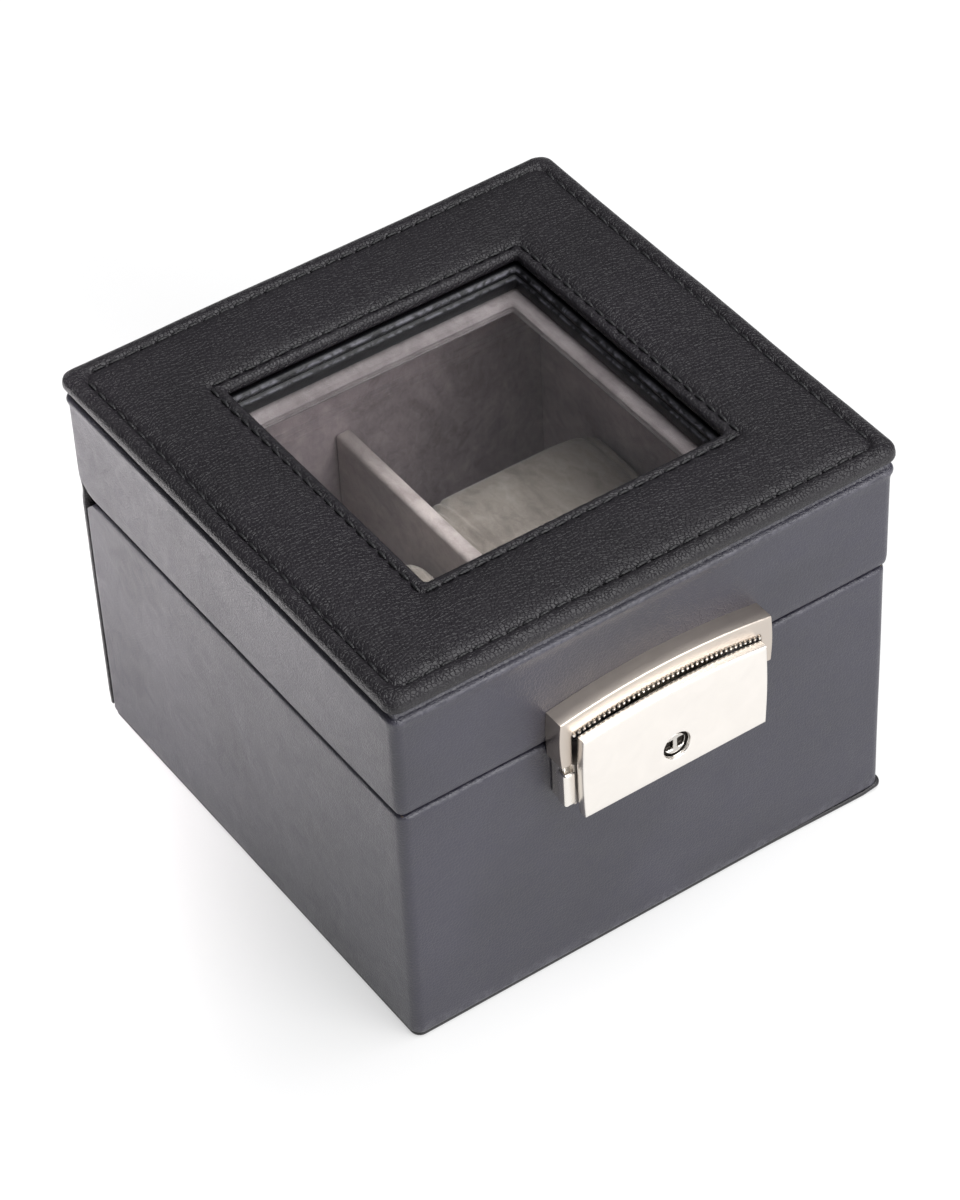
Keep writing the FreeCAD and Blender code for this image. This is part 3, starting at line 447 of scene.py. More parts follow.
points, faces = stuffed_pillow()
axis = np.array([[0, 0, (PILLOW["low"] + PILLOW["high"]) / 2]])
outward = points * [0, 1, 1] - axis
outward /= np.maximum(np.linalg.norm(outward, axis=1, keepdims=True), 1e-6)
draw = np.zeros(len(points))
for seam, depth, width in SEAM_PLACE_DEPTH_WIDTH:
    wander = uneven(points * [0, 1, 1], 0.35, 0.05, seam)
    draw += depth * np.exp(-((points[:, 0] - PILLOW["start"] - seam - wander) / width) ** 2)
ends = np.minimum(points[:, 0] - PILLOW["start"], PILLOW["end"] - points[:, 0])
draw += 1.3 * np.exp(-(np.maximum(ends, 0) / 1.6) ** 2) + 0.9 * np.exp(-(np.maximum(ends, 0) / 7) ** 2)
pulls = uneven(points * [0.25, 1, 1], 1.0, 0.16, 2.0) * np.exp(-((ends - 5.5) / 5.0) ** 2) * 0.45
draw += pulls + uneven(points, 0.35, 0.045, 7.0)
points -= outward * draw[:, None]
points[:, 2] = np.maximum(points[:, 2], PILLOW["low"])
points[:, 0] = np.clip(points[:, 0], PILLOW["start"] - 0.4, PILLOW["end"] + 0.4)
pillow_suede = suede("pillow_suede", tone(116, 107, 101), tone(160, 151, 143), 0.00016)
for word, side, forward in (("left", -1, LEFT_LIES_FORWARD), ("right", 1, 0.0)):
    turned = faces if side > 0 else [tuple(reversed(face)) for face in faces]
    moved = points * [side, 1, 1] - [0, forward, 0]
    made = make_mesh("stuffed_%s_pillow" % word, moved, turned, pillow_suede)
    place_piece(made, "%s_pillow" % word, "pillow_suede", "%s_pillow" % word)

# Lid boards: four fibreboard sides under a fibreboard top frame, glued like the base.
# The rear board is bevelled below to make the other half of the hinge channel.
finish_nodes(fibreboard, "lid_front_board", "lid_back_board", "lid_left_board", "lid_right_board",
             "lid_top_board")

# Butt hinges: two small brass-plated steel hinges in the channel, one leaf screwed to each bevel.
# The knuckles share a plain pin; the whole hinge is hidden behind the spine.
metal_grain, given, result = new_group(
    "metal_grain", [("Place", "Vector"), ("Tint", "Color"), ("Smooth", "Float"), ("Coarse", "Float")],
    [("Color", "Color"), ("Roughness", "Float"), ("Height", "Float")])
stroked = shader(metal_grain, "Mapping", {"Vector": given["Place"], "Scale": (0.02, 1.0, 1.0)})
brushing = speckle(metal_grain, stroked.outputs["Vector"], 5200, 3, 0.0, 0.7)
haze = speckle(metal_grain, given["Place"], 160, 4, 0.8)
clouded = stretch(metal_grain, haze, 0.3, 0.7, 0.975, 1.015)
tinted = shader(metal_grain, "VectorMath", {0: given["Tint"], "Scale": clouded}, operation="SCALE")
metal_grain.links.new(tinted.outputs["Vector"], result["Color"])
dulled = math_of(metal_grain, "MULTIPLY_ADD", haze, 0.2, math_of(metal_grain, "MULTIPLY", brushing, 0.8))
dullness = stretch(metal_grain, dulled, 0.3, 0.7, given["Smooth"], given["Coarse"])
metal_grain.links.new(dullness, result["Roughness"])
metal_grain.links.new(brushing, result["Height"])


def metal(name, tint, smooth, coarse, relief=0.000004):
    """Bare metal with a faint brushed grain and a hazy polish between two roughnesses."""
    material, tree, skin, place = new_material(name, Metallic=1.0)
    sockets = {"Place": place, "Tint": tint, "Smooth": smooth, "Coarse": coarse}
    grained(tree, skin, metal_grain, sockets, relief)
    return material


hinge_steel = metal("hinge_steel", tone(196, 176, 128), 0.26, 0.42)
finish_nodes(hinge_steel, "hinge_lower_leaf_left", "hinge_lower_leaf_right", "hinge_upper_leaf_left",
             "hinge_upper_leaf_right", "hinge_pins", "hinge_screws_lower", "hinge_screws_upper")

# Lid leather: a band of the same leather round the lid, turned in under its lower edge as far as the suede.
# It stands half a millimetre proud of the base, and its lower roll throws the seam into shadow. Near the
# top it ends in a rolled edge, with a groove above it under the padded top.
LID_FOOT = 68.75
rows = [(56.93, 0.3, 72.2), (56.93, 0.3, 70.4), (56.93, 0.3, 69.1), (57.0, 0.35, 68.75), (57.3, 0.4, 68.64),
        (60.0, 1.0, 68.62), (61.9, 1.0, 68.62), (62.7, 1.2, 68.68), (62.98, 1.6, 68.9), (63.15, 1.9, 69.3),
        (63.3, 2.2, 69.9), (63.42, 2.4, 70.7), (63.5, 2.5, 71.6)]
rows += [(63.5, 2.5, 71.6 + 20.8 * i / 12) for i in range(1, 13)]
rows += [(63.55, 2.5, 93.2), (63.72, 2.55, 94.0), (63.92, 2.6, 94.6), (63.97, 2.6, 95.1),
         (63.85, 2.5, 95.55), (63.5, 2.0, 95.85), (62.9, 1.0, 96.0), (62.62, 0.4, 96.2),
         (62.62, 0.4, 98.7), (62.4, 0.4, 99.0)]
points, faces = band(rows, 60, 8)
walls = (points[:, 2] > 71) & (points[:, 2] < 93)
points[:, :2] *= 1 + np.where(walls, uneven(points, 0.0014, 0.04, 11.0), 0)[:, None]
foot = points[:, 2] < 70
points[:, 2] += np.where(foot, uneven(points, 0.12, 0.1, 13.0), 0)
bevel = LID_FOOT + 0.06 + np.maximum(points[:, 1] - CHANNEL, 0)
points[:, 2] = np.where(points[:, 1] > CHANNEL, np.maximum(points[:, 2], bevel), points[:, 2])
# At the front the rolled edge near the top carries a painted highlight.
wear_and_highlight = (points[:, 1] < -61.5) * 0.5 * ridge(points, 95.3, 0.5)
place_piece(make_mesh("lid_cover", points, faces, side_leather, wear_and_highlight), "lid", "leather", "lid_leather")

# Suede frame and liners of the lid: a suede-wrapped frame carries the pane and leaves a pale ledge inside
# the window, with three folds in its inner edge; four wrapped boards line the sides, down to the collar.
rows = [(56.9, 0.3, 90.9), (45.0, 0.5, 90.9), (35.1, 0.6, 90.88), (34.6, 0.6, 90.78), (34.2, 0.6, 90.5),
        (33.96, 0.6, 90.2), (33.9, 0.6, 90.05), (34.4, 0.6, 89.8), (33.9, 0.6, 89.55), (33.87, 0.6, 89.35),
        (34.4, 0.6, 89.1), (33.87, 0.6, 88.85), (33.9, 0.6, 88.65), (34.4, 0.6, 88.4), (34.1, 0.6, 88.2),
        (34.5, 0.6, 88.05), (35.1, 0.6, 88.0), (45.0, 0.5, 88.0), (56.9, 0.3, 88.0)]
points, faces = band(rows, 60, 4)
# The ledge takes a darker copy of the suede: painted shade on its upward face.
ledge_suede = suede("ledge_suede", tone(94, 86, 87), tone(128, 120, 121), 0.00018)
place_piece(make_mesh("suede_lid_frame", points, faces, ledge_suede), "lid", "suede", "lid_lining_frame")
for name, low, high in (("lid_front_liner", (-57, -57, 72.25), (57, -55.5, 88.0)),
                        ("lid_back_liner", (-57, 55.5, 72.25), (57, 57, 88.0)),
                        ("lid_left_liner", (-57, -55.5, 72.25), (-55.5, 55.5, 88.0)),
                        ("lid_right_liner", (55.5, -55.5, 72.25), (57, 55.5, 88.0))):
    points, faces = soft_block(low, high, 0.45)
    place_piece(make_mesh("suede_" + name, points, faces, wall_suede), "lid", "suede", name)

# Window pane: clear float glass laid on the suede frame and held down by the trim.
# Light falls through it without a hard shadow; a faint film of dust sits on it.
pane_glass, tree, skin, place = new_material("pane_glass", IOR=1.45, Transmission_Weight=1.0)
dust = speckle(tree, place, 55, 4, 0.6)
tree.links.new(stretch(tree, dust, 0.35, 0.75, 0.0, 0.035), skin.inputs["Roughness"])
tree.links.new(between(tree, speckle(tree, place, 20, 2), tone(250, 252, 252), tone(255, 255, 255)),
               skin.inputs["Base Color"])
clear = shader(tree, "BsdfTransparent", {"Color": (0.93, 0.94, 0.94, 1.0)})
passing = shader(tree, "MixShader", {0: shader(tree, "LightPath").outputs["Is Shadow Ray"],
                                     1: skin.outputs["BSDF"], 2: clear.outputs["BSDF"]})
tree.links.new(passing.outputs["Shader"], tree.nodes["Material Output"].inputs["Surface"])
finish_nodes(pane_glass, "window_pane")

# Window trim: a narrow moulding wrapped in thin glossy leather, pressed in over the pane.
# One roll of it stands under the padded edge, and a second one below drops upright to the glass.
# Its paler colour is used only for the painted highlights on the crests of the trim.
trim_leather = leather("trim_leather", tone(13, 13, 17), tone(112, 111, 120), 0.00003, 0.35)
trim_section = ((39.8, 92.55), (39.8, 94.5), (39.8, 96.9), (39.4, 97.45), (38.8, 97.85), (38.2, 97.95),
                (37.65, 97.75), (37.35, 97.35), (37.25, 96.85), (37.35, 96.4), (37.6, 96.12),
                (37.68, 95.95), (37.55, 95.8), (37.2, 95.7), (36.95, 95.45), (36.85, 95.0),
                (36.85, 94.0), (36.9, 93.1), (37.0, 92.53))
points, faces = band([(half, 0.5, height) for half, height in trim_section], 80, 4)
points[:, 2] += np.where(points[:, 2] > 96.5, uneven(points, 0.12, 0.12, 17.0), 0)
# Painted highlight along the crests of both rolls, on their inner side.
inside = np.abs(points[:, :2]).max(1) < 37.9
wear_and_highlight = inside * (0.8 * ridge(points, 97.4, 0.35) + 0.6 * ridge(points, 95.5, 0.2))
place_piece(make_mesh("trim_cover", points, faces, trim_leather, wear_and_highlight), "lid", "leather", "window_trim")

# Padded top: a frame of soft leather over foam, rolled over its outer edge and round the window.
# Two stitched rows quilt it, one near the outer edge and one beside the window, each drawn into a groove;
# inside the second row the turned edge rolls down over the trim.
STITCH = 4.0
OUTER_ROW = 60.3
INNER_ROW = 40.5
rows = [(62.7, 0.5, 98.95), (63.2, 1.6, 98.4), (63.7, 2.4, 98.25), (64.15, 2.9, 98.45),
        (64.38, 3.2, 99.0), (64.4, 3.3, 99.8), (64.3, 3.4, 100.6), (64.05, 3.4, 101.0),
        (63.65, 3.4, 101.32), (63.1, 3.3, 101.55), (62.5, 3.2, 101.68), (61.8, 3.1, 101.72),
        (61.2, 3.0, 101.64), (60.8, 2.9, 101.42), (60.5, 2.9, 101.12), (60.3, 2.9, 101.0),
        (60.1, 2.8, 101.12), (59.8, 2.8, 101.42), (59.3, 2.7, 101.66), (58.3, 2.6, 101.85),
        (56.5, 2.4, 101.98), (54.0, 2.2, 102.05), (51.0, 2.0, 102.08), (47.5, 1.8, 102.05),
        (44.8, 1.6, 101.96), (42.9, 1.4, 101.82), (41.7, 1.3, 101.62), (41.15, 1.3, 101.42),
        (40.75, 1.2, 101.15), (40.5, 1.2, 101.05), (40.25, 1.2, 101.15), (39.9, 1.1, 101.36),
        (39.4, 1.1, 101.47), (38.9, 1.1, 101.42), (38.45, 1.0, 101.22), (38.15, 1.0, 100.9),
        (37.98, 0.9, 100.5), (37.92, 0.9, 100.0), (38.0, 0.9, 99.45), (38.3, 0.9, 99.05),
        (39.0, 0.9, 98.85), (39.6, 0.8, 98.7), (39.86, 0.7, 98.3), (39.92, 0.7, 96.6)]
points, faces = band(rows, 200, 10)
reach = np.abs(points[:, :2]).max(1)
along = np.abs(points[:, :2]).min(1) * np.where(np.abs(points[:, 0]) > np.abs(points[:, 1]),
                                                np.sign(points[:, 1]), np.sign(points[:, 0]))
face_up = points[:, 2] > 100.9
hole = np.exp(-(((along / STITCH) % 1 - 0.5) * STITCH / 0.45) ** 2)
for row in (OUTER_ROW, INNER_ROW):
    nearby = np.exp(-((reach - row) / 0.8) ** 2)
    bulge = np.exp(-((np.abs(reach - row) - 1.5) / 1.1) ** 2)
    gathered = 0.05 * bulge * np.cos(2 * math.pi * along / STITCH)
    points[:, 2] += np.where(face_up, -0.26 * hole * nearby + gathered, 0)
points[:, 2] += np.where(face_up, uneven(points, 0.34, 0.04, 19.0) + uneven(points, 0.06, 0.14, 23.0), 0)
rolled = (reach > 63.6) & (points[:, 2] > 98.3)
points[:, :2] *= 1 + np.where(rolled, uneven(points, 0.0016, 0.06, 29.0), 0)[:, None]
from_mitre = np.abs(np.abs(points[:, 0]) - np.abs(points[:, 1]))
corner = np.exp(-((from_mitre / 5) ** 2)) * (reach > 60.6) * face_up
points[:, 2] += corner * uneven(points, 0.25, 0.3, 31.0)
# The outer roll is marked a little paler; a thin line on the crest of the inner roll is a painted
# highlight.
wear_and_highlight = 0.04 * ridge(points, 101.2, 0.4) * (reach > 63)
wear_and_highlight += 0.2 * (np.abs(reach - 38.4) < 0.35) * face_up
pad_leather = leather("pad_leather", tone(25, 22, 27), tone(72, 69, 75), 0.00019, 0.42)
made = make_mesh("padded_top", points, faces, pad_leather, wear_and_highlight)
place_piece(made, "lid", "leather", "top_pad_leather", "top_pad_foam")

# Stitches of the padded top: waxed black thread, sewn by machine at one stitch each 4 mm.
# Each stitch lies in its groove, a little fuller in its middle and pulled down at both ends.
thread, tree, skin, place = new_material("waxed_thread", Roughness=0.5)
twist = shader(tree, "TexWave", {"Vector": place, "Scale": 900.0, "Distortion": 1.5},
               bands_direction="DIAGONAL").outputs["Fac"]
tree.links.new(between(tree, twist, tone(10, 10, 12), tone(30, 30, 33)), skin.inputs["Base Color"])
raised(tree, skin, twist, 0.00005)


def stitch_row(name, half, height, reach_along):
    """All stitches of one row round the lid, as one piece."""
    points, faces = [], []
    stations, sides = 7, 8
    count = int(2 * reach_along / STITCH)
    for turn, (c, s) in enumerate(QUARTER_TURNS):
        for i in range(count):
            middle = (i - (count - 1) / 2) * STITCH
            lean = 0.10 * math.sin(2.4 * i + turn)
            first = len(points)
            for j in range(stations):
                t = 2 * j / (stations - 1) - 1
                girth = 0.40 * math.sqrt(max(1 - t ** 4, 0.03))
                for k in range(sides):
                    angle = 2 * math.pi * k / sides
                    x = middle + 1.62 * t
                    y = -half + lean * t + girth * math.cos(angle)
                    z = height + 0.16 * (1 - t * t) - 0.14 * t ** 4 + 0.8 * girth * math.sin(angle)
                    points.append((c * x - s * y, s * x + c * y, z))
            faces += ring_faces(sides, stations, first, turned=True)
            faces.append(tuple(first + k for k in range(sides)))
            faces.append(tuple(first + (stations - 1) * sides + k for k in reversed(range(sides))))
    place_piece(make_mesh(name, points, faces, thread), "lid", "leather")


stitch_row("outer_stitches", OUTER_ROW, 101.20, 59.0)
stitch_row("inner_stitches", INNER_ROW, 101.22, 40.0)

# Spine: one strip of leather down the back, glued to the lid above and to the base below.
# It is the leather of the padded top, and runs free across the hinge, where it is pressed into a shallow
# groove.
SPINE_HALF = 62.4
SPINE_BACK = 64.4
SPINE_FOOT = 1.5
SPINE_HEAD = 98.9
SEAM = 68.1
heights = sorted({*np.linspace(SPINE_FOOT, 56, 14), *np.linspace(56, 80, 49),
                  *np.linspace(80, SPINE_HEAD, 8)})
widths = list(np.linspace(-SPINE_HALF, SPINE_HALF, 53))


def rounding(share):
    """How far a round edge falls away, from 1 at its end to 0 where it meets the flat."""
    return 1 - math.sqrt(max(1 - (1 - share) ** 2, 0))


points, faces = [], []
for height in heights:
    groove = 0.75 * math.exp(-((height - SEAM) / 2.6) ** 2)
    glued = min(max((height - 62.1) / 12, 0), 1)
    end = min(height - SPINE_FOOT, SPINE_HEAD - height, 1.2) / 1.2
    for x in widths:
        edge = min((SPINE_HALF - abs(x)) / 0.6, 1)
        drop = 0.3 * rounding(edge) + 0.4 * rounding(end)
        grain = 0.10 * noise.noise(Vector((x, height, 0)) * 0.06)
        points.append((x, SPINE_BACK - groove - drop + grain, height))
    for x in reversed(widths):
        points.append((x, 63.05 + 0.5 * glued - groove, height))
ring = 2 * len(widths)
for r in range(len(heights) - 1):
    for i in range(ring):
        a, b = r * ring + i, r * ring + (i + 1) % ring
        faces.append((b, a, a + ring, b + ring))
faces += [tuple(range(ring)), tuple(reversed(range(len(points) - ring, len(points))))]
points = np.array(points)
wear_and_highlight = 0.2 * ridge(points, SEAM, 2.0)
made = make_mesh("spine", points, faces, pad_leather, wear_and_highlight)
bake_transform(made)
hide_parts("spine_leather_lower", "spine_leather_upper")

# Strike: an arched nickel-plated frame screwed to the front of the lid, with a thin back.
# Its face is a plain satin band; under the arch hangs a row of rounded teeth, a grip for the thumb.
strike_nickel = metal("strike_nickel", tone(202, 192, 182), 0.27, 0.35, 0.000001)
STRIKE_BACK = -63.5
STRIKE_HALF = 27.0
STRIKE_FOOT = 65.2
STRIKE_SHOULDER = 77.5
STRIKE_RISE = 2.5
STRIKE_LEG = 2.7
STRIKE_CROWN = 4.2


def arch(half, foot, shoulder, rise, bow, legs=8, crown=72):
    """Points (x, z) up the right leg, over the arch and down the left leg, seen from the front."""
    radius = (half * half + rise * rise) / (2 * rise)
    spread = math.asin(half / radius)
    line = []
    for i in range(legs):
        t = i / legs
        line.append((half + bow * math.sin(math.pi * t), foot + (shoulder - foot) * t))
    for i in range(crown + 1):
        angle = spread * (1 - 2 * i / crown)
        line.append((radius * math.sin(angle), shoulder + rise - radius * (1 - math.cos(angle))))
    return line + [(-x, z) for x, z in reversed(line[:legs])]


def strip(rows):
    """Points and faces through rows of equal length, with both ends left open."""
    count = len(rows[0])
    points = [point for row in rows for point in row]
    faces = [(r * count + i, r * count + i + 1, (r + 1) * count + i + 1, (r + 1) * count + i)
             for r in range(len(rows) - 1) for i in range(count - 1)]
    return points, faces


section = [(0.0, STRIKE_BACK), (0.0, -66.0), (0.0, -68.42), (0.03, -68.56), (0.09, -68.65), (0.18, -68.7),
           (0.6, -68.72), (1.35, -68.72), (2.0, -68.72), (2.5, -68.7), (2.61, -68.64), (2.67, -68.53),
           (STRIKE_LEG, -68.35), (STRIKE_LEG, -66.0), (STRIKE_LEG, STRIKE_BACK), (0.0, STRIKE_BACK)]
rows = []
for inset, y in section:
    shoulder = STRIKE_SHOULDER - inset * STRIKE_CROWN / STRIKE_LEG
    bow = 0.35 * (1 - inset / STRIKE_LEG)
    rows.append([(x, y, z) for x, z in arch(STRIKE_HALF - inset, STRIKE_FOOT, shoulder, STRIKE_RISE, bow)])
points, faces = strip(rows)
count = len(rows[0])
faces.append(tuple(r * count for r in range(len(rows) - 1)))
faces.append(tuple(r * count + count - 1 for r in reversed(range(len(rows) - 1))))
inner = arch(24.35, 69.05, 73.35, STRIKE_RISE, 0)
first = len(points)
points += [(x, -64.7, z) for x, z in inner] + [(x, STRIKE_BACK, z) for x, z in inner]
half_count = len(inner)
faces.append(tuple(first + i for i in range(half_count)))
faces.append(tuple(first + half_count + i for i in reversed(range(half_count))))
faces.append((first, first + half_count - 1, first + 2 * half_count - 1, first + half_count))
place_piece(make_mesh("strike", points, faces, strike_nickel, sharp=50), "lid", "nickel", "strike_frame")

TEETH = 39
TOOTH_PITCH = 1.25
TOOTH_RADIUS = 0.50
stations, sides = 7, 10
points, faces = [], []
for i in range(TEETH):
    x = (i - TEETH // 2) * TOOTH_PITCH
    edge = 73.3 + STRIKE_RISE * (1 - (x / 24.3) ** 2)
    first = len(points)
    for j in range(stations):
        fall = j / (stations - 1)
        girth = TOOTH_RADIUS * math.sqrt(max(1 - fall ** 3, 0.02))
        for k in range(sides):
            angle = 2 * math.pi * k / sides
            points.append((x + girth * math.cos(angle), -68.6 + 1.1 * girth * math.sin(angle),
                           edge + 0.30 - 1.15 * fall))
    faces += ring_faces(sides, stations, first, turned=True)
    faces.append(tuple(first + (stations - 1) * sides + k for k in range(sides)))
    faces.append(tuple(first + k for k in reversed(range(sides))))
bright_nickel = metal("bright_nickel", tone(238, 233, 226), 0.20, 0.28, 0.000001)
place_piece(make_mesh("strike_teeth", points, faces, bright_nickel), "lid", "nickel")
plated_steel = metal("plated_steel", tone(186, 184, 182), 0.24, 0.38)
finish_nodes(plated_steel, "strike_tongue", "strike_screws")

# Lock case: a folded nickel-plated box screwed to the front of the base from inside.
# At each end a rounded guide bar stands beside a dark groove and keeps the plate straight; the left bar is
# the wider one.
satin_nickel = metal("satin_nickel", tone(240, 235, 229), 0.31, 0.37, 0.000001)
finish_nodes(satin_nickel, "lock_case")
finish_nodes(plated_steel, "lock_case_screws")
points, faces = [], []
for side, bar_edge in ((-1, -26.75), (1, -25.2)):
    for low, high, radius in (((bar_edge, -69.1, 53.6), (-23.75, -66.0, 62.9), 0.7),
                              ((-26.0, -67.6, 53.2), (-24.1, -63.1, 64.6), 0.4)):
        block_points, block_faces = soft_block(low, high, radius, 4)
        first = len(points)
        points += [(-side * x, y, z) for x, y, z in block_points]
        faces += [tuple(first + i for i in (face if side < 0 else reversed(face))) for face in block_faces]
place_piece(make_mesh("case_guides", points, faces, bright_nickel), "base", "nickel")

# Return springs: two short coils of bright wire between the floor of the case and the slider.
SPRING_APART = 10.0
SPRING_TURNS = 3.5
COIL_RADIUS = 0.62
WIRE_RADIUS = 0.16
steps, sides = 96, 6
points, faces = [], []
for side in (-1, 1):
    first = len(points)
    for i in range(steps + 1):
        turn = 2 * math.pi * SPRING_TURNS * i / steps
        for k in range(sides):
            angle = 2 * math.pi * k / sides
            girth = COIL_RADIUS + WIRE_RADIUS * math.cos(angle)
            points.append((SPRING_APART * side + girth * math.cos(turn), -64.3 + girth * math.sin(turn),
                           54.68 + 1.46 * i / steps + WIRE_RADIUS * math.sin(angle)))
    faces += ring_faces(sides, steps + 1, first, turned=True)
    faces.append(tuple(first + k for k in range(sides)))
    faces.append(tuple(first + steps * sides + k for k in reversed(range(sides))))
made = make_mesh("coil_springs", points, faces, plated_steel)
place_piece(made, "base", "steel", "return_springs")
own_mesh(made)

# Lock plate: a thick nickel-plated plate in front of the case, riveted to the slider behind it.
# It has an arched top, softly bevelled edges and a bore for the key barrel.
PLATE_BACK = -69.3
PLATE_FACE = -71.8
PLATE_HALF = 23.5
PLATE_FOOT = 51.1
PLATE_SHOULDER = 73.1
PLATE_RISE = 1.65
BARREL_AT = 58.4


def plate_outline(inset):
    """Points (x, z) round the plate, anticlockwise from its lower right corner, seen from the front."""
    half, foot = PLATE_HALF - inset, PLATE_FOOT + inset
    upper = arch(half, foot, PLATE_SHOULDER - inset, PLATE_RISE, 0.35, 16, 64)
    lower = [(-half + 2 * half * i / 40, foot) for i in range(1, 40)]
    return upper + [(-half, foot)] + lower


def bore_outline(radius, outline):
    """The point of the barrel's bore that lies in line with each point of an outline."""
    line = []
    for x, z in outline:
        away = math.hypot(x, z - BARREL_AT)
        line.append((radius * x / away, BARREL_AT + radius * (z - BARREL_AT) / away))
    return line


rim = plate_outline(1.0)
edge = [(0.15, PLATE_BACK), (0.0, -69.5), (0.0, -70.2), (0.0, -70.9), (0.03, -71.4), (0.1, -71.6),
        (0.22, -71.73), (0.4, -71.79), (1.0, PLATE_FACE)]
rows = [[(x, y, z) for x, z in plate_outline(inset)] for inset, y in edge]
hole = bore_outline(3.85, rim)
for share in (0.08, 0.3, 0.5, 0.7, 0.9, 1.0):
    y = PLATE_FACE - 0.16 * math.sin(math.pi / 2 * min(share * 3, 1))
    rows.append([(a + (c - a) * share, y, b + (d - b) * share) for (a, b), (c, d) in zip(rim, hole)])
for radius, y in ((3.65, -71.95), (3.52, -71.86), (3.44, -71.7), (3.44, -70.6), (3.44, PLATE_BACK)):
    rows.append([(x, y, z) for x, z in bore_outline(radius, rim)])
rows.append([(x, PLATE_BACK, z) for x, z in plate_outline(0.15)])
points, faces = strip([row + row[:1] for row in rows])
made = make_mesh("front_plate", points, faces, satin_nickel, sharp=50)
place_piece(made, "lock_plate", "nickel", "lock_plate")
finish_nodes(plated_steel, "latch_slider", "plate_rivets")

# Key barrel: a turned chrome plug in the bore, free to turn, with a cam behind the case.
# Its face is sunk inside a thin ring, with a post across the middle between two deep lobes.
chrome = metal("polished_chrome", tone(206, 202, 196), 0.16, 0.24, 0.0000005)
# A dark copy of the metal, for painted shade.
hollow_shade_metal = metal("painted_hollow_shade", tone(58, 54, 50), 0.30, 0.45, 0.000001)
BARREL_RADIUS = 3.38
points, sunk = [], []
turns, rings = 96, 60


def step(distance, softness=0.07):
    """From 0 inside an edge to 1 outside it."""
    return 1 / (1 + math.exp(-distance / softness))


for i in range(rings + 1):
    radius = BARREL_RADIUS * i / rings
    for k in range(turns):
        angle = 2 * math.pi * k / turns
        x, z = radius * math.cos(angle), radius * math.sin(angle)
        lobe = step(abs(x) - 0.62) * step(1.25 - abs(z)) * step(2.55 - radius)
        moat = step(radius - 2.72) * step(3.2 - radius)
        sunk.append(max(lobe, moat))
        points.append((x, -71.5 + 0.25 * step(2.72 - radius) + 1.0 * lobe + 0.9 * moat, BARREL_AT + z))
for y in (-69.4, PLATE_BACK):
    for k in range(turns):
        angle = 2 * math.pi * k / turns
        points.append((BARREL_RADIUS * math.cos(angle), y, BARREL_AT + BARREL_RADIUS * math.sin(angle)))
faces = ring_faces(turns, rings + 3)
made = make_mesh("key_barrel", points, faces, chrome)
# Faces deep in the lobes and in the ring take the dark metal: painted shade in the hollows.
made.data.materials.append(hollow_shade_metal)
for face in made.data.polygons:
    on_front = max(face.vertices) < len(sunk)
    face.material_index = int(on_front and np.mean([sunk[i] for i in face.vertices]) > 0.35)
place_piece(made, "lock_barrel", "chrome", "lock_barrel")
finish_nodes(plated_steel, "lock_cam")

# Floor: a plain white studio table, lit like the box, that keeps its soft shadow.
# Some white of its own is added where it is seen, also mirrored or through glass; there is less of it near
# the box, a painted shade round the box that deepens its shadow.
bpy.ops.mesh.primitive_plane_add(size=6, location=(0, 0, -0.0001))
floor = bpy.context.object
floor.name = "studio_floor"
paper, tree, skin, place = new_material("white_paper", Roughness=0.9, Specular_IOR_Level=0.0)
tree.links.new(between(tree, speckle(tree, place, 3, 2), tone(170, 170, 170), tone(174, 174, 174)),
               skin.inputs["Base Color"])
rays = shader(tree, "LightPath").outputs
seen = math_of(tree, "MAXIMUM", rays["Is Camera Ray"],
               math_of(tree, "MAXIMUM", rays["Is Glossy Ray"], rays["Is Transmission Ray"]))
skin.inputs["Emission Color"].default_value = (1, 1, 1, 1)
# Less white near the box, more further off: painted shade round the box.
away = shader(tree, "VectorMath", {0: place}, operation="LENGTH").outputs["Value"]
tree.links.new(math_of(tree, "MULTIPLY", seen, stretch(tree, away, 0.15, 0.75, 0.52, 1.0)),
               skin.inputs["Emission Strength"])
floor.data.materials.append(paper)

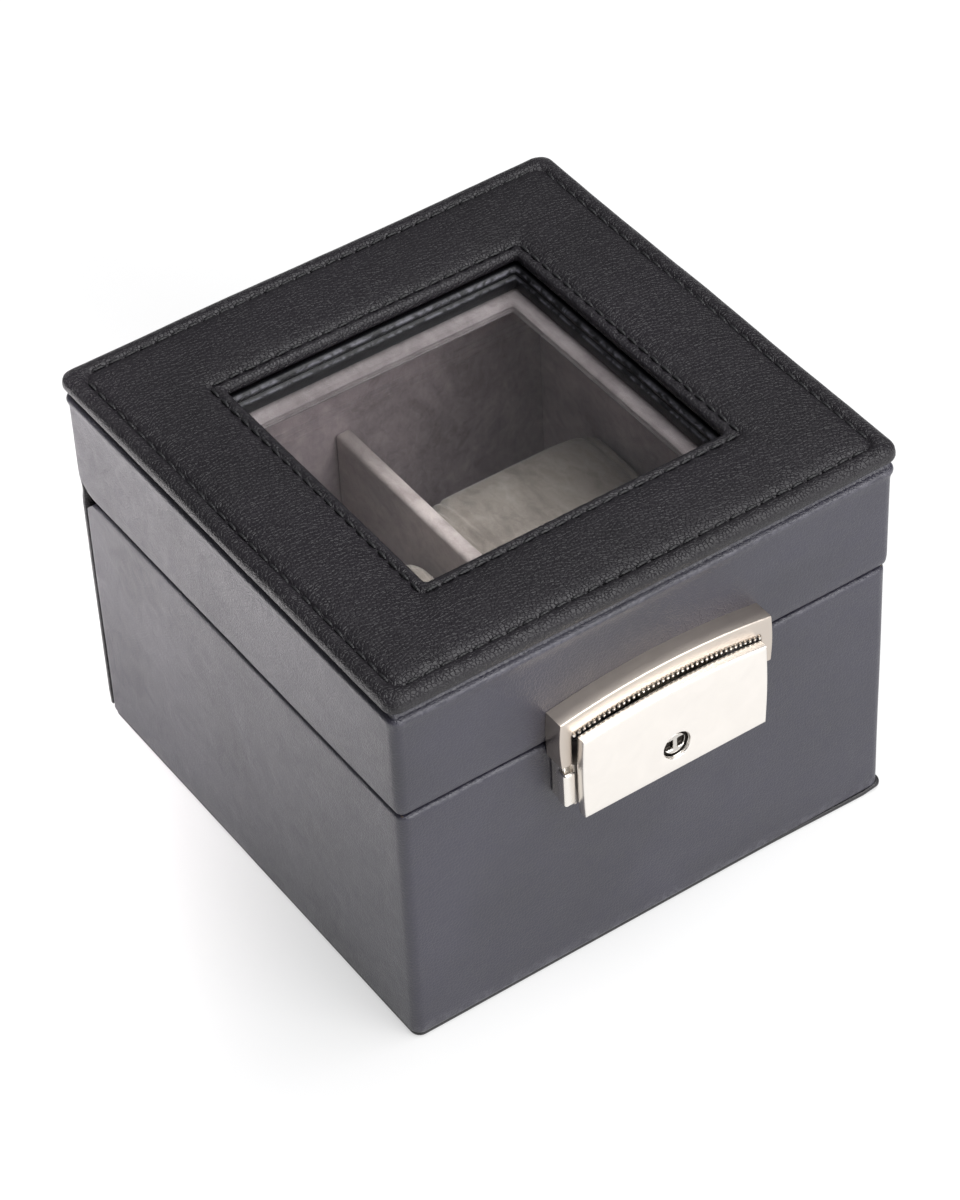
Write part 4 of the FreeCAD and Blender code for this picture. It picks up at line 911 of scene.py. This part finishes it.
# Light: a wide soft box above at the front right, a softer one low in front, and a dim grey room that
# leaves the top of the lid dark. A narrow beam falls on the table at the left rear, where the left side
# of the box mirrors it.
def soft_box(name, place, aim, size, power, colour=(1, 1, 1), spread=180):
    """A lamp behind a square of cloth: place, aim and size in metres, power in watts, spread in degrees."""
    lamp = bpy.data.lights.new(name, "AREA")
    lamp.color, lamp.spread = colour, math.radians(spread)
    lamp.shape, lamp.size, lamp.size_y, lamp.energy = "RECTANGLE", size[0], size[1], power
    made = new_object(name, lamp)
    made.location = place
    made.rotation_euler = (Vector(aim) - Vector(place)).to_track_quat("-Z", "Y").to_euler()


soft_box("key_box", (0.25, -0.28, 1.18), (0, 0, 0.05), (1.2, 1.2), 18.5)
soft_box("left_rear_box", (-0.21, 0.15, 0.5), (-0.20, 0.14, 0.0), (0.06, 0.06), 0.8,
         colour=(1.0, 0.93, 0.95), spread=44)
soft_box("front_box", (0.22, -0.90, 0.45), (0, 0, 0.04), (0.9, 0.5), 6.5)
room = bpy.data.worlds.new("room")
room.use_nodes = True
room.node_tree.nodes["Background"].inputs["Color"].default_value = (0.20, 0.20, 0.205, 1)
room.node_tree.nodes["Background"].inputs["Strength"].default_value = 1.0
bpy.context.scene.world = room

# Camera: a long lens above the left front corner, as the box is seen in the photograph.
# It is aimed at the middle of the box and leans a little to one side.
CAMERA_PLACE = Vector((-0.3600, -0.5583, 0.6675))
CAMERA_AIM = Vector((-0.00263, -0.00317, 0.05))
CAMERA_LEAN = -3.015
lens = bpy.data.cameras.new("camera")
lens.sensor_fit, lens.sensor_height, lens.lens = "VERTICAL", 36.0, 123.625
camera = new_object("camera", lens)
upright = (CAMERA_AIM - CAMERA_PLACE).to_track_quat("-Z", "Y").to_matrix().to_4x4()
leaning = Matrix.Rotation(math.radians(CAMERA_LEAN), 4, "Z")
camera.matrix_world = Matrix.Translation(CAMERA_PLACE) @ upright @ leaning
bpy.context.scene.camera = camera
bpy.context.scene.view_settings.view_transform = "Standard"
